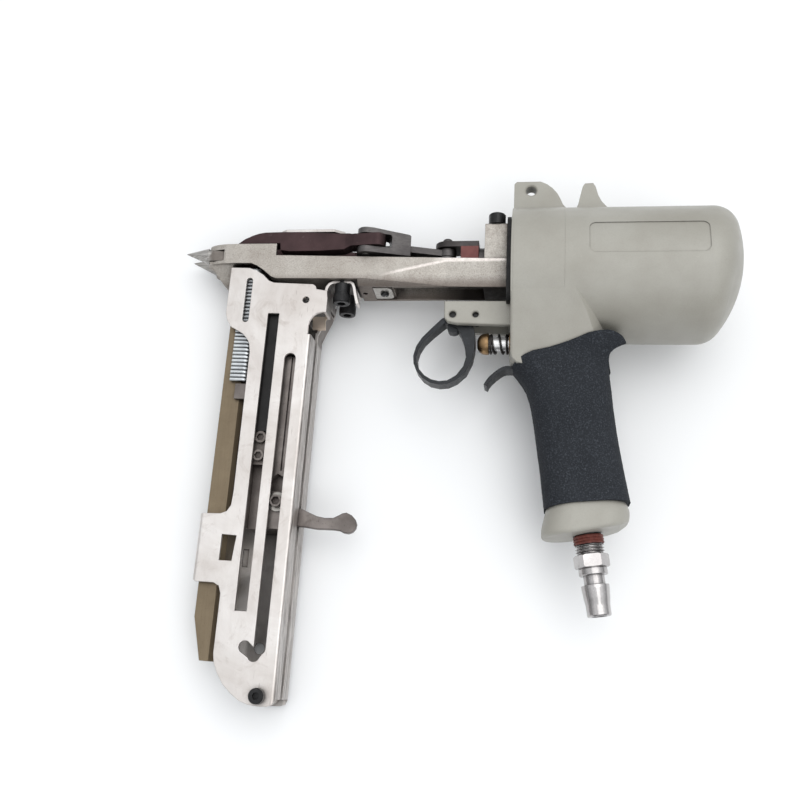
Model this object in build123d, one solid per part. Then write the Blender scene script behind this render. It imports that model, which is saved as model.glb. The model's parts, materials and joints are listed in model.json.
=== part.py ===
from build123d import *
import math
import os

os.makedirs("parts", exist_ok=True)

# Pneumatic hog ring tool, lying on its side.  Millimetres.
# Everything is drawn in the tool's own axes: X to the rear along the barrel,
# Y up towards the hanging lug, Z across the tool.  X = 0 is the front face of
# the main casting.  The last block lays the finished tool on the table.

# ---------------------------------------------------------------- dimensions
BARREL_R = 33.6          # barrel radius
BARREL_Y = -0.95         # barrel axis height
COLLAR_LEN = 25.0        # slightly fatter front length of the barrel
DOME_R = 58.26           # rear end: a dome with its centre above the barrel axis
DOME_X, DOME_Y = 52.2, 5.94
REAR_FILLET = 12.5

ROD_Y = 8.6              # cylinder and piston rod axis height
BORE_R = 21.0
SLEEVE_T = 1.25
ROD_R = 5.5

ARM_HALF = 8.5           # half width of the trigger arm
ARM_SLOT = 5.25
TRIG_PIN = (-28.6, -24.1)
STOP_PIN = (-17.4, -24.2)
TRIG_HALF = 4.2
VALVE_Y = -36.8

PLUG_BASE = (37.0, -130.7)
PLUG_DIR = (0.141, -0.990)

NOSE_HALF = 13.0         # half width of the nose frame
NOSE_WALL = 1.7
JAW_X, JAW_Z = -145.0, 6.5      # jaw pivot
LEVER_X, LEVER_Z = -73.0, 12.0  # lever end pivot at rest
CLEVIS_X = -33.2                # clevis pin at rest

MAG_X = -120.0           # magazine datum on the X axis
MAG_LEAN = 1.05          # degrees
MAG_HALF = 13.0          # half thickness of the magazine
SHEET = 1.5
RAIL_HALF = 8.3
RING_WIRE = 1.86
RING_PITCH = 1.94
RING_COUNT = 31
PUSH_TRAVEL = 66.0

# lying position: pitch about Y, roll about X, then the shift to the origin
PITCH = 7.035
ROLL = 1.050
SHIFT = (29.047, 81.322, 33.391)

MID = (Align.CENTER, Align.CENTER, Align.MIN)
CEN = (Align.CENTER, Align.CENTER, Align.CENTER)
out = {}


# ---------------------------------------------------------------- helpers
def prism(pts, z0, z1):
    """Outline in X-Y, thickness along Z."""
    return Pos(0, 0, z0) * extrude(
        make_face(Polyline(*pts, close=True)), amount=z1 - z0, dir=(0, 0, 1)
    )


def plan(pts, y0, y1):
    """Outline in X-Z, height along Y."""
    face = make_face(Polyline(*[(x, 0, z) for x, z in pts], close=True))
    return Pos(0, y0, 0) * extrude(face, amount=y1 - y0, dir=(0, 1, 0))


def rod(p, d, r, length):
    return Plane(origin=p, z_dir=d) * Cylinder(r, length, align=MID)


def tube(p, d, r_out, r_in, length):
    return rod(p, d, r_out, length) - rod(p, d, r_in, length)


def box(x0, x1, y0, y1, z0, z1):
    return Pos((x0 + x1) / 2, (y0 + y1) / 2, (z0 + z1) / 2) * Box(
        x1 - x0, y1 - y0, z1 - z0
    )


def soft(part, edges, r):
    """Round edges where the geometry allows it."""
    for k in (1.0, 0.7, 0.45):
        try:
            res = fillet(edges, r * k)
            if res.is_valid and res.volume > 0:
                return res
        except Exception:
            pass
    return part


def cap_screw(p, d, thread, length, sock=True):
    """Socket head cap screw: p is the seat of the head, d points from the
    seat to the top of the head."""
    head_r = {5: 4.25, 4: 3.5, 3: 2.75}[thread]
    hex_af = {5: 4.0, 4: 3.0, 3: 2.5}[thread]
    head = Cylinder(head_r, thread, align=MID)
    head = chamfer(head.edges().sort_by(Axis.Z)[-1], 0.35)
    if sock:
        socket = extrude(RegularPolygon(hex_af / 2, 6, major_radius=False), amount=-thread * 0.55)
        head -= Pos(0, 0, thread) * socket
    shank = Pos(0, 0, -length) * Cylinder(thread / 2, length + 0.01, align=MID)
    return Plane(origin=p, z_dir=d) * (head + shank)


def coil(p, d, r_mid, wire, turns, length):
    """Compression spring with its axis from p along d."""
    h = Helix(pitch=(length - wire) / turns, height=length - wire, radius=r_mid)
    prof = Plane(origin=h @ 0, z_dir=h % 0) * Circle(wire / 2)
    s = sweep(prof, path=h, is_frenet=True)
    return Plane(origin=p, z_dir=d) * (Pos(0, 0, wire / 2) * s)


# ---------------------------------------------------------------- main casting
AXX = (1, 0, 0)
barrel = rod((0, BARREL_Y, 0), AXX, BARREL_R, 118)
barrel = barrel & (Pos(DOME_X, DOME_Y, 0) * Sphere(DOME_R) + rod((-1, DOME_Y, 0), AXX, DOME_R, DOME_X + 1))
barrel = fillet([e for e in barrel.edges() if e.center().X > 90], REAR_FILLET)
collar = rod((0, BARREL_Y, 0), AXX, BARREL_R + 0.2, COLLAR_LEN)
collar = fillet(collar.edges().filter_by(GeomType.CIRCLE).sort_by(Axis.X)[0], 1.5)

lug = prism(
    [(0, 20), (0, 48.2), (1.2, 49.5), (13.2, 49.5), (16.4, 48.0), (19.2, 45.7),
     (21.6, 42.8), (23.2, 39.6), (24.4, 36.6), (27.0, 33.5), (27.0, 20)], -4.0, 4.0)
lug = soft(lug, lug.edges().filter_by(Axis.Z).group_by(Axis.Y)[-1], 1.0)
fin = prism(
    [(29.6, 20), (30.6, 33.0), (32.0, 36.5), (33.0, 41.0), (34.3, 46.4), (35.4, 48.0), (39.4, 48.2),
     (40.6, 46.2), (41.9, 41.4), (43.6, 37.9), (46.4, 34.6), (49.0, 33.0), (49.0, 20)], -4.0, 4.0)

# neck under the barrel that carries the trigger valve and the handle
neck = plan(
    [(-0.7, -3.5), (-0.7, 3.5), (0.2, 7.4), (2.6, 10.8), (6.0, 12.8), (10.5, 13.4), (38.0, 13.4),
     (44.0, 10.6), (48.0, 5.0), (48.0, -5.0), (44.0, -10.6), (38.0, -13.4), (10.5, -13.4),
     (6.0, -12.8), (2.6, -10.8), (0.2, -7.4)], -62.0, -8.0)
neck = neck & prism(
    [(-0.7, -8), (-0.7, -46.4), (0.4, -48.6), (2.6, -50.4), (6.0, -51.0), (42.0, -51.0), (42.4, -48.5), (45.5, -43.0), (49.5, -39.5), (50.5, -36.5), (50.5, -8)], -20, 20)

# tapered flanks that carry the barrel's side down into the neck
FLANK = 25.0             # degrees below the side of the barrel where the flanks leave it
FLANK_D = BARREL_R - 0.1
fc, fs_ = math.cos(math.radians(FLANK)), math.sin(math.radians(FLANK))


def flank_z(y):
    return (FLANK_D - (BARREL_Y - y) * fs_) / fc


f_top = BARREL_Y - FLANK_D * fs_
flank = extrude(make_face(Polyline(
    (0.0, f_top, flank_z(f_top)), (0.0, -51.0, flank_z(-51.0)), (0.0, -51.0, -flank_z(-51.0)), (0.0, f_top, -flank_z(f_top)), close=True)), amount=50.0, dir=(1, 0, 0))
flank = flank & prism([(0, -8), (0, -46.0), (1.0, -48.4), (3.0, -50.2), (6.0, -51.0), (42.0, -51.0), (42.4, -48.5), (45.5, -43.0), (49.5, -39.5), (50.5, -36.5), (50.5, -8)], -40, 40)
oval = Plane(origin=(12.0, -60.0, 0), x_dir=(1, 0, 0), z_dir=(0, 1, 0)) * extrude(Ellipse(33.0, 34.0), amount=60)
flank = flank & (box(-1, 12.0, -60, 0, -40, 40) + oval)
es = [e for e in flank.edges() if abs(e.center().X) < 0.3 and abs(e.center().Z) > 10]
flank = soft(flank, es, 1.5)

arm = prism(
    [(-33.0, -17.1), (2.0, -17.1), (2.0, -29.8), (-26.7, -28.8), (-31.2, -27.8), (-32.7, -25.7)],
    -ARM_HALF, ARM_HALF)
arm = soft(arm, arm.faces().filter_by(Axis.Z).edges(), 0.8)


def handle_section(y, x0, x1, half, r):
    w = x1 - x0
    r = min(r, half - 0.3, w / 2 - 0.3)
    return Plane(origin=((x0 + x1) / 2, y, 0), x_dir=(1, 0, 0), z_dir=(0, 1, 0)) * RectangleRounded(w, 2 * half, r)


GRIP = [  # height, front, rear, half width
    (-119.0, 16.5, 56.6, 15.6),
    (-108.2, 15.4, 54.8, 15.4),
    (-94.5, 13.7, 52.2, 15.2),
    (-78.9, 11.5, 49.8, 15.2),
    (-67.0, 9.3, 48.4, 15.4),
    (-57.0, 5.2, 47.4, 15.7),
    (-48.0, -1.0, 48.5, 16.0),
    (-36.0, -4.0, 55.0, 16.2),
    (-29.0, -5.0, 57.0, 16.2),
]
GRIP_T = 2.6
core_full = loft([handle_section(y, a + GRIP_T, b - GRIP_T, h - GRIP_T, 10.0) for y, a, b, h in GRIP])
core = core_full & box(-50, 100, -118.9, -50.0, -30, 30)
foot_secs = [
    handle_section(-133.6, 18.0, 52.6, 13.0, 11.0),
    handle_section(-130.6, 15.6, 54.2, 15.2, 12.0),
    handle_section(-126.0, 16.0, 54.6, 15.6, 12.4),
    handle_section(-119.0, 17.6, 55.4, 14.9, 12.2),
    handle_section(-115.5, 18.3, 54.2, 13.8, 11.5),
    handle_section(-108.2, 18.0, 52.2, 12.8, 10.5),
]
foot = loft(foot_secs)
# the sole of the foot slopes up towards the rear
foot = foot - prism([(5, -133.0), (19.5, -131.8), (30.0, -130.5), (46.0, -127.4), (51.0, -126.0), (54.5, -123.9), (62.0, -118.4), (62.0, -150), (5, -150)], -30, 30)
foot = soft(foot, foot.faces().filter_by(lambda f: f.normal_at().Y < -0.8).edges(), 1.8)

# hollow under the pointed tail of the grip, slanting up towards the far side
TAIL_CUT = [(54.6, -40.2), (54.3, -40.9), (53.4, -41.4), (51.8, -42.0), (49.7, -43.0), (48.0, -44.2), (46.7, -45.6), (45.9, -47.4), (45.6, -50.0), (45.9, -53.0),
            (46.5, -56.0), (47.2, -60.0), (48.2, -67.0), (75.0, -67.0), (75.0, -40.2)]


def hollow(dx):
    face = make_face(Polyline(*[(x + dx - 0.0756 * 20, y - 0.352 * 20, 34.0) for x, y in TAIL_CUT], close=True))
    return extrude(face, amount=70.0 * math.hypot(1.0, 0.0756, 0.352), dir=(0.0756, 0.352, -1.0))


# the neck stays inside the sleeve there
neck = neck - hollow(-2.6)
flank = flank - hollow(-2.6)

body = barrel + collar + lug + fin + neck + flank + arm + core + foot
solid_body = body

# rounded-rectangle recess on the near side of the barrel, left bare
recess = Pos(63.6, 5.2, 0) * extrude(RectangleRounded(54.5, 16.6, 3.2), amount=60)
ring = rod((30, BARREL_Y, 0), AXX, BARREL_R + 5, 70) - rod((30, BARREL_Y, 0), AXX, BARREL_R - 0.55, 70)
body -= recess & ring

# eye in the lug, countersunk both sides
EYE = (8.5, 44.6)
body -= Pos(EYE[0], EYE[1], 0) * Cylinder(2.6, 20, align=CEN)
for sgn in (1, -1):
    body -= Plane(origin=(EYE[0], EYE[1], sgn * 3.3), z_dir=(0, 0, sgn)) * Cone(2.6, 3.5, 0.9, align=MID)

# cylinder bore, valve bore, air ways
body -= rod((-1, ROD_Y, 0), AXX, BORE_R, 88)
body -= rod((-2, VALVE_Y, 0), AXX, 6.0, 26)
body -= rod((14.0, VALVE_Y, 0), (0, 1, 0), 2.4, 26)
HAX = Vector(PLUG_DIR[0], PLUG_DIR[1], 0)
pb = Vector(PLUG_BASE[0], PLUG_BASE[1], 0)
body -= rod(pb + HAX * 6, HAX * -1, 6.65, 20)
up = pb - HAX * 14
body -= rod(up, (-0.23, 0.973, 0), 7.5, 78)

# slot in the arm for the trigger, and the two pin holes
body -= box(-40, -1.4, -34, -19.3, -ARM_SLOT, ARM_SLOT)
body -= Pos(TRIG_PIN[0], TRIG_PIN[1], 0) * Cylinder(1.75, 40, align=CEN)
body -= Pos(STOP_PIN[0], STOP_PIN[1], 0) * Cylinder(1.55, 40, align=CEN)
for (hx, hy), hr in ((TRIG_PIN, 1.75), (STOP_PIN, 1.55)):
    for sgn in (1, -1):
        body -= Plane(origin=(hx, hy, sgn * (ARM_HALF - 0.5)), z_dir=(0, 0, sgn)) * Cone(hr, hr + 0.8, 0.8, align=MID)
# groove for the finger rest under the sleeve
body -= prism([(-6, -49.4), (12.0, -49.4), (12.0, -51.3), (-6, -51.3)], -5.2, 5.2)
out["body_casting"] = body

# ---------------------------------------------------------------- grip sleeve
GRIP_OUT = GRIP[:6] + [  # the top of the sleeve spreads over the flanks of the neck
    (-50.0, 0.2, 47.8, 16.3),
    (-46.0, -2.0, 50.2, 17.4),
    (-40.0, -3.5, 56.5, 20.1),
    (-34.0, -4.5, 60.0, 22.9),
    (-29.0, -5.0, 62.0, 25.2),
]
sleeve = loft([handle_section(y, a, b, h, 12.5) for y, a, b, h in GRIP_OUT])
side = prism(
    [(3.6, -48.8), (7.0, -47.2), (10.8, -45.8), (18.7, -44.2), (26.6, -41.8), (31.5, -40.0), (36.0, -38.2), (39.2, -37.4),
     (42.2, -37.0), (45.2, -36.9), (47.7, -37.4), (50.0, -38.1), (52.0, -39.0), (53.7, -40.3), (54.7, -41.8), (54.8, -50.0), (46.0, -50.4), (47.1, -57.0),
     (49.0, -72.9), (50.9, -87.5), (53.2, -99.8), (55.6, -112.4), (55.9, -114.6),
     (39.0, -116.0), (30.6, -116.8), (21.7, -118.1), (16.8, -119.0), (15.4, -108.2), (13.7, -94.5), (11.5, -78.9), (9.3, -67.0),
     (7.5, -60.3), (4.0, -55.5), (1.2, -52.8), (0.6, -51.4), (1.2, -50.2)], -32, 32)
sleeve = sleeve & side
sleeve = sleeve - hollow(0.0)
sleeve = sleeve - solid_body - rod((-5, BARREL_Y, 0), AXX, BARREL_R, 120)
sleeve = sleeve - box(-8, 14.0, -51.35, -49.35, -5.25, 5.25)
sleeve = Compound(sorted(sleeve.solids(), key=lambda s: -s.volume)[:1])
out["grip_sleeve"] = sleeve

# ---------------------------------------------------------------- finger rest
def strip(path, t, z0, z1):
    """Bent sheet strip: a centre line in X-Y, thickness t, width along Z."""
    pts_l, pts_r = [], []
    for i, p in enumerate(path):
        a = path[max(i - 1, 0)]
        b = path[min(i + 1, len(path) - 1)]
        dx, dy = b[0] - a[0], b[1] - a[1]
        n = math.hypot(dx, dy)
        nx, ny = -dy / n, dx / n
        pts_l.append((p[0] + nx * t / 2, p[1] + ny * t / 2))
        pts_r.append((p[0] - nx * t / 2, p[1] - ny * t / 2))
    return prism(pts_l + pts_r[::-1], z0, z1)


rest = strip([(11.5, -50.35), (4.0, -50.35), (0.0, -50.35), (-2.2, -50.4), (-3.8, -50.9), (-5.2, -51.8), (-7.6, -53.7), (-9.6, -55.7),
              (-11.0, -57.6), (-11.9, -59.4)], 1.7, -5.0, 5.0)
out["finger_rest"] = rest

# ---------------------------------------------------------------- air plug
r_maj, r_min = 6.55, 5.75
THREAD = 1.337
plug_pts = [(3.6, -9.0), (r_min, -9.0)]
zz = -9.0
while zz < 7.2:
    plug_pts += [(r_min, zz + 0.15), (r_maj, zz + 0.62), (r_maj, zz + 0.72), (r_min, zz + 1.19)]
    zz += THREAD
plug_pts += [(r_min, 7.9), (6.3, 7.9), (6.3, 13.6), (6.3, 14.0), (6.55, 14.2), (6.55, 16.8), (6.3, 17.1),
             (4.8, 17.1), (4.8, 21.3), (6.35, 21.6), (6.35, 22.9), (5.95, 27.4), (5.6, 29.7), (5.5, 30.6), (5.5, 34.9), (5.1, 35.5), (3.6, 35.5)]
plug_face = make_face(Polyline(*[(r, 0, zc) for r, zc in plug_pts], close=True))
plug = revolve(plug_face, Axis.Z)
hexn = Pos(0, 0, 7.9) * extrude(RegularPolygon(7.0, 6, major_radius=False, rotation=30), amount=5.7)
cone = Pos(0, 0, 7.9) * (Cylinder(9, 5.7, align=MID) & (Pos(0, 0, -1.0) * Cone(6.6, 10.4, 3.85, align=MID) + Pos(0, 0, 2.84) * Cone(10.4, 6.6, 3.86, align=MID)))
hexn = (hexn & cone) - Cylinder(3.6, 60, align=CEN)
plug = plug + hexn
plug_pl = Plane(origin=pb, x_dir=(0, 0, 1), z_dir=HAX)
out["air_plug"] = plug_pl * plug
# thread sealant: a thin coat that follows the first turns of the thread
seal_pts = [(6.6, -0.95)]
for k in range(3):
    z0 = -0.9 + THREAD * k
    seal_pts += [(6.66, z0), (6.98, z0 + 0.5), (6.98, z0 + 0.8), (6.66, z0 + 1.25)]
seal_pts.append((6.6, seal_pts[-1][1] + 0.05))
seal = revolve(make_face(Polyline(*[(r, 0, zc) for r, zc in seal_pts], close=True)), Axis.Z)
out["thread_sealant"] = (plug_pl * seal) - out["body_casting"]

# ---------------------------------------------------------------- cylinder
sleeve_c = tube((4.0, ROD_Y, 0), AXX, BORE_R - 0.05, BORE_R - SLEEVE_T, 58)
out["cylinder_sleeve"] = sleeve_c
cyl_r = BORE_R - SLEEVE_T
head = rod((62.1, ROD_Y, 0), AXX, BORE_R - 0.05, 7.0)
head -= tube((64.0, ROD_Y, 0), AXX, BORE_R + 1, BORE_R - 2.0, 2.4)
out["cylinder_head"] = head
out["head_seal"] = tube((64.1, ROD_Y, 0), AXX, BORE_R - 0.05, BORE_R - 1.95, 2.2)
piston = rod((43.0, ROD_Y, 0), AXX, cyl_r - 0.35, 13.0)
piston -= tube((47.6, ROD_Y, 0), AXX, cyl_r + 1, cyl_r - 2.6, 3.0)
piston -= rod((42, ROD_Y, 0), AXX, 4.05, 16)
piston = chamfer(piston.edges().filter_by(GeomType.CIRCLE).group_by(Axis.X)[-1].sort_by(SortBy.LENGTH)[-1], 0.6)
out["piston"] = piston
out["piston_seal"] = tube((47.75, ROD_Y, 0), AXX, cyl_r - 0.05, cyl_r - 2.5, 2.7)
prod = rod((-22.0, ROD_Y, 0), AXX, 3.95, 6.0) + rod((-16.9, ROD_Y, 0), AXX, ROD_R, 59.8) + rod((42.9, ROD_Y, 0), AXX, 4.0, 18.2)
out["piston_rod"] = prod
nut = Plane(origin=(56.1, ROD_Y, 0), z_dir=AXX) * (extrude(RegularPolygon(6.5, 6, major_radius=False), amount=4.4) - Cylinder(4.05, 30, align=CEN))
out["rod_nut"] = nut
out["return_spring"] = coil((1.6, ROD_Y, 0), AXX, 10.5, 2.0, 7, 40.8)

# ---------------------------------------------------------------- gasket
gasket = Plane(origin=(-2.6, 3.6, 0), x_dir=(0, 0, 1), z_dir=AXX) * extrude(RectangleRounded(31.0, 45.0, 5.0), amount=1.85)
gasket -= rod((-5, ROD_Y, 0), AXX, 9.5, 10)
gasket -= box(-5, 1, -30, -16.9, -8.7, 8.7)
out["front_gasket"] = gasket

# ---------------------------------------------------------------- nose frame
def wall_top(x):
    return 6.0 + (x + 119.5) * (3.1 - 6.0) / 117.0


front_half = [(-141.0, 13.0), (-145.3, 12.85), (-149.5, 12.0), (-152.5, 10.9), (-154.4, 9.6), (-155.4, 8.0), (-155.8, 6.5), (-155.2, 4.0), (-153.4, 0.0)]
front = plan([(-119.0, 13.0)] + front_half + [(x, -zc) for x, zc in front_half[-2::-1]] + [(-119.0, -13.0)], 1.9, 12.4)
beam_side = [(-141.0, 1.9), (-131.6, 1.8), (-128.4, 0.5), (-124.8, -2.0), (-120.5, -5.6), (-118.0, -6.6), (-72.0, -7.0),
             (-72.0, wall_top(-72.0)), (-119.5, wall_top(-119.5)), (-119.5, 12.4), (-141.0, 12.4)]
beam = prism(beam_side, -NOSE_HALF, NOSE_HALF)


def yz_section(x, half):
    pts = half + [(y, -zc) for y, zc in half[::-1]]
    return make_face(Polyline(*[(x, y, zc) for y, zc in pts], close=True))


# rear half of the frame: the cheeks lean in towards the bottom behind a slanting ridge
rear_a = loft([yz_section(-72.0, [(wall_top(-72.0), 13.0), (-6.8, 13.0), (-6.9, 12.95), (-9.8, 10.0)]),
               yz_section(-32.4, [(wall_top(-32.4), 13.0), (2.3, 13.0), (-9.55, 9.4), (-9.9, 9.2)])], ruled=True)
rear_b = loft([yz_section(-32.4, [(wall_top(-32.4), 13.0), (2.3, 13.0), (-9.55, 9.4), (-9.9, 9.2)]),
               yz_section(-2.7, [(wall_top(-2.7), 13.4), (2.3, 13.4), (-10.05, 9.0), (-10.4, 8.8)])], ruled=True)
pad = extrude(yz_section(-76.4, [(-6.8, 12.9), (-9.8, 10.0)]), amount=4.6, dir=(1, 0, 0))
flange = box(-13.7, -2.7, 0.0, 22.9, -12.0, 12.0)
flange = soft(flange, flange.edges().filter_by(Axis.X).group_by(Axis.Y)[-1], 1.2)
nose = front + beam + rear_a + rear_b + pad + flange
# channel for levers, links and clevis
IN = NOSE_HALF - NOSE_WALL
nose -= box(-119.6, -62.0, -3.6, 40, -IN, IN)
nose -= box(-62.1, -13.7, 0.6, 40, -IN, IN)
# jaw cavity, open to the front and open above behind the pivots
nose -= box(-170, -119.0, 3.5, 9.6, -IN, IN)
nose -= box(-170, -146.4, 3.5, 9.6, -30, 30)
nose -= box(-141.5, -119.0, 3.5, 40, -IN, IN)
# ring way up through the floor
nose -= box(-138.0, -125.4, -12, 4, -11.4, 11.4)
# slanted web under the front lugs, with a small slot
guide = prism([(-154.6, 3.5), (-152.4, 0.0), (-150.2, -3.3), (-148.1, -6.0), (-146.6, -7.1), (-143.6, -7.1), (-142.9, -3.0), (-141.6, 1.9), (-141.6, 3.5)], -12, 12)
guide = guide & (Pos(-160, 0, 0) * extrude(yz_section(0, [(3.5, 11.0), (1.9, 10.4), (-7.2, 4.0)]), amount=30, dir=(1, 0, 0)))
nose += guide
nose -= box(-156, -148.6, 1.0, 1.9, 3.0, 9.0)
# centre post for the plate over the levers
nose += box(-112.0, -92.0, -3.7, 20.9, -2.2, 2.2)
# recess under the rear of the frame
nose -= box(-69.5, -59.0, -20, -8.4, -8.2, 8.2)
nose -= box(-59.1, -14.0, -20, -4.2, -7.7, 7.7)
# bores: rod bush and seal, jaw pins, screws
nose -= rod((-15, ROD_Y, 0), AXX, 8.0, 14)
for s in (1, -1):
    nose -= rod((JAW_X, 1.9, s * JAW_Z), (0, 1, 0), 2.5, 14)
    nose -= rod((-8.0, 17.3, s * 8.0), (0, 1, 0), 2.5, 10)
    nose -= rod((-84.5, -8, s * 8.0), (0, 1, 0), 2.5, 6)
for xs in (-107.5, -96.5):
    nose -= rod((xs, 14.0, 0), (0, 1, 0), 1.5, 10)
nose -= rod((-64.2, -10, 0), (0, 1, 0), 1.5, 5.0)
# small blind hole ahead of the tab
nose -= rod((-74.2, -10, 0), (0, 1, 0), 1.3, 3.5)
out["nose_frame"] = nose

bush = tube((-13.6, ROD_Y, 0), AXX, 7.95, ROD_R + 0.05, 7.1)
out["rod_bush"] = bush
out["rod_seal"] = tube((-6.4, ROD_Y, 0), AXX, 7.95, ROD_R + 0.05, 3.4)


def flange_screw(s):
    p = (-8.0, 23.85, s * 8.0)
    return (cap_screw(p, (0, 1, 0), 5, 6.4) + rod((p[0], 22.95, p[2]), (0, 1, 0), 4.45, 0.9)).solid()


out["nose_screws"] = Compound([flange_screw(s) for s in (1, -1)])

jaw_pins = [rod((JAW_X, 1.95, s * JAW_Z), (0, 1, 0), 2.45, 10.4).solid() for s in (1, -1)]
out["jaw_pins"] = Compound(jaw_pins)

cover = plan([(-118.7, -6.2), (-116.0, -8.0), (-91.0, -8.0), (-86.0, -4.6), (-86.0, 4.6), (-91.0, 8.0), (-116.0, 8.0), (-118.7, 6.2)], 21.0, 22.4)
for xs in (-107.5, -96.5):
    cover -= rod((xs, 20, 0), (0, 1, 0), 1.6, 6)
out["lever_plate"] = cover
scr = []
for xs in (-107.5, -96.5):
    hd = Cylinder(2.7, 1.7, align=MID)
    hd = fillet(hd.edges().sort_by(Axis.Z)[-1], 1.2)
    hd -= Pos(0, 0, 1.7) * extrude(RegularPolygon(1.0, 6, major_radius=False), amount=-1.1)
    hd += Pos(0, 0, -7.5) * Cylinder(1.48, 7.6, align=MID)
    scr.append((Plane(origin=(xs, 22.42, 0), z_dir=(0, 1, 0)) * hd).solid())
out["lever_plate_screws"] = Compound(scr)

# latch tab under the frame
tab = plan([(-69.4, -6.9), (-61.8, -6.9), (-60.6, -5.9), (-60.1, -4.4), (-60.1, 4.4), (-60.6, 5.9), (-61.8, 6.9), (-69.4, 6.9)], -9.75, -8.45)
tab -= rod((-64.2, -12, 0), (0, 1, 0), 1.6, 6)
out["underside_tab"] = tab
th = Cylinder(2.1, 1.3, align=MID)
th = fillet(th.edges().sort_by(Axis.Z)[-1], 0.7)
th -= Pos(0, 0, 1.3) * Box(6, 0.7, 1.2)
th += Pos(0, 0, -4.2) * Cylinder(1.45, 4.3, align=MID)
out["tab_screw"] = Plane(origin=(-64.2, -9.78, 0), z_dir=(0, -1, 0)) * th

# ---------------------------------------------------------------- clevis and links
cl = box(-39.2, -17.0, 1.5, 16.1, -6.0, 6.0)
cl = cl & (box(-33.2, -17.0, 0, 20, -6, 6) + rod((CLEVIS_X, 0, 0), (0, 1, 0), 6.0, 20))
cl -= box(-45, -26.0, 4.45, 13.15, -9, 9)
cl -= rod((CLEVIS_X, -5, 0), (0, 1, 0), 2.05, 30)
cl -= rod((-23.0, ROD_Y, 0), AXX, 4.0, 10)
out["rod_clevis"] = cl
cp = rod((CLEVIS_X, 1.2, 0), (0, 1, 0), 2.0, 15.0) + Plane(origin=(CLEVIS_X, 16.15, 0), z_dir=(0, 1, 0)) * fillet(
    Cylinder(2.55, 3.4, align=MID).edges().sort_by(Axis.Z)[-1], 1.4)
out["clevis_pin"] = cp

LINK_LEN = math.hypot(LEVER_X - CLEVIS_X, LEVER_Z)


def link(side, hub0, hub1):
    dx, dz = (LEVER_X - CLEVIS_X) / LINK_LEN, side * LEVER_Z / LINK_LEN
    pl = Plane(origin=(CLEVIS_X, 0, 0), x_dir=(dx, 0, dz), z_dir=(0, 1, 0))

    def slab(x0, x1, half, y0, y1):
        return Pos((x0 + x1) / 2, 0, (y0 + y1) / 2) * Box(x1 - x0, 2 * half, y1 - y0)

    def profile(pts, half):
        """side outline (along the link, height) across the link's width"""
        f = make_face(Polyline(*[(a, 0, h) for a, h in pts], close=True))
        return Pos(0, -half, 0) * extrude(f, amount=2 * half, dir=(0, 1, 0))

    eye = Pos(LINK_LEN, 0, 0) * Cylinder(4.6, 60, align=CEN) + slab(19.0, LINK_LEN, 4.6, -30, 30)
    b = Pos(0, 0, hub0) * Cylinder(4.6, hub1 - hub0, align=MID)
    b += slab(0, 22.0, 3.1, hub0, hub1 - 0.6)
    block = profile([(19.7, 6.2), (46.5, 6.2), (46.5, 9.45), (31.0, 9.45), (29.8, 9.6), (29.3, 10.2), (29.3, 15.6), (29.8, 16.3), (31.0, 16.55), (46.5, 16.55), (46.5, 19.4),
                     (LINK_LEN - 3.0, 19.4), (30.0, 18.5), (20.4, 17.6), (19.7, 16.9)], 4.6)
    b += block & eye
    b -= Pos(0, 0, hub0 - 2) * Cylinder(2.06, 30, align=MID)
    b -= Pos(LINK_LEN, 0, 0) * Cylinder(2.0, 60, align=CEN)
    pin = Pos(LINK_LEN, 0, 6.1) * Cylinder(1.97, 13.5, align=MID)
    return pl * b, pl * pin


ll, lpl = link(1, 8.95, 12.85)
lr, lpr = link(-1, 4.85, 8.65)
out["link_left"] = ll
out["link_pin_left"] = lpl
out["link_right"] = lr
out["link_pin_right"] = lpr

# ---------------------------------------------------------------- jaws
LEV_LEN = math.hypot(LEVER_X - JAW_X, LEVER_Z - JAW_Z)
LEV_ANG = math.atan2(LEVER_Z - JAW_Z, LEVER_X - JAW_X)
SLOT_FRONT, SLOT_REAR = 1.15, 0.25   # free play of the open pivot along the lever
TAIL = 5.6                           # lever length behind the pivot, before its round end


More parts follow.
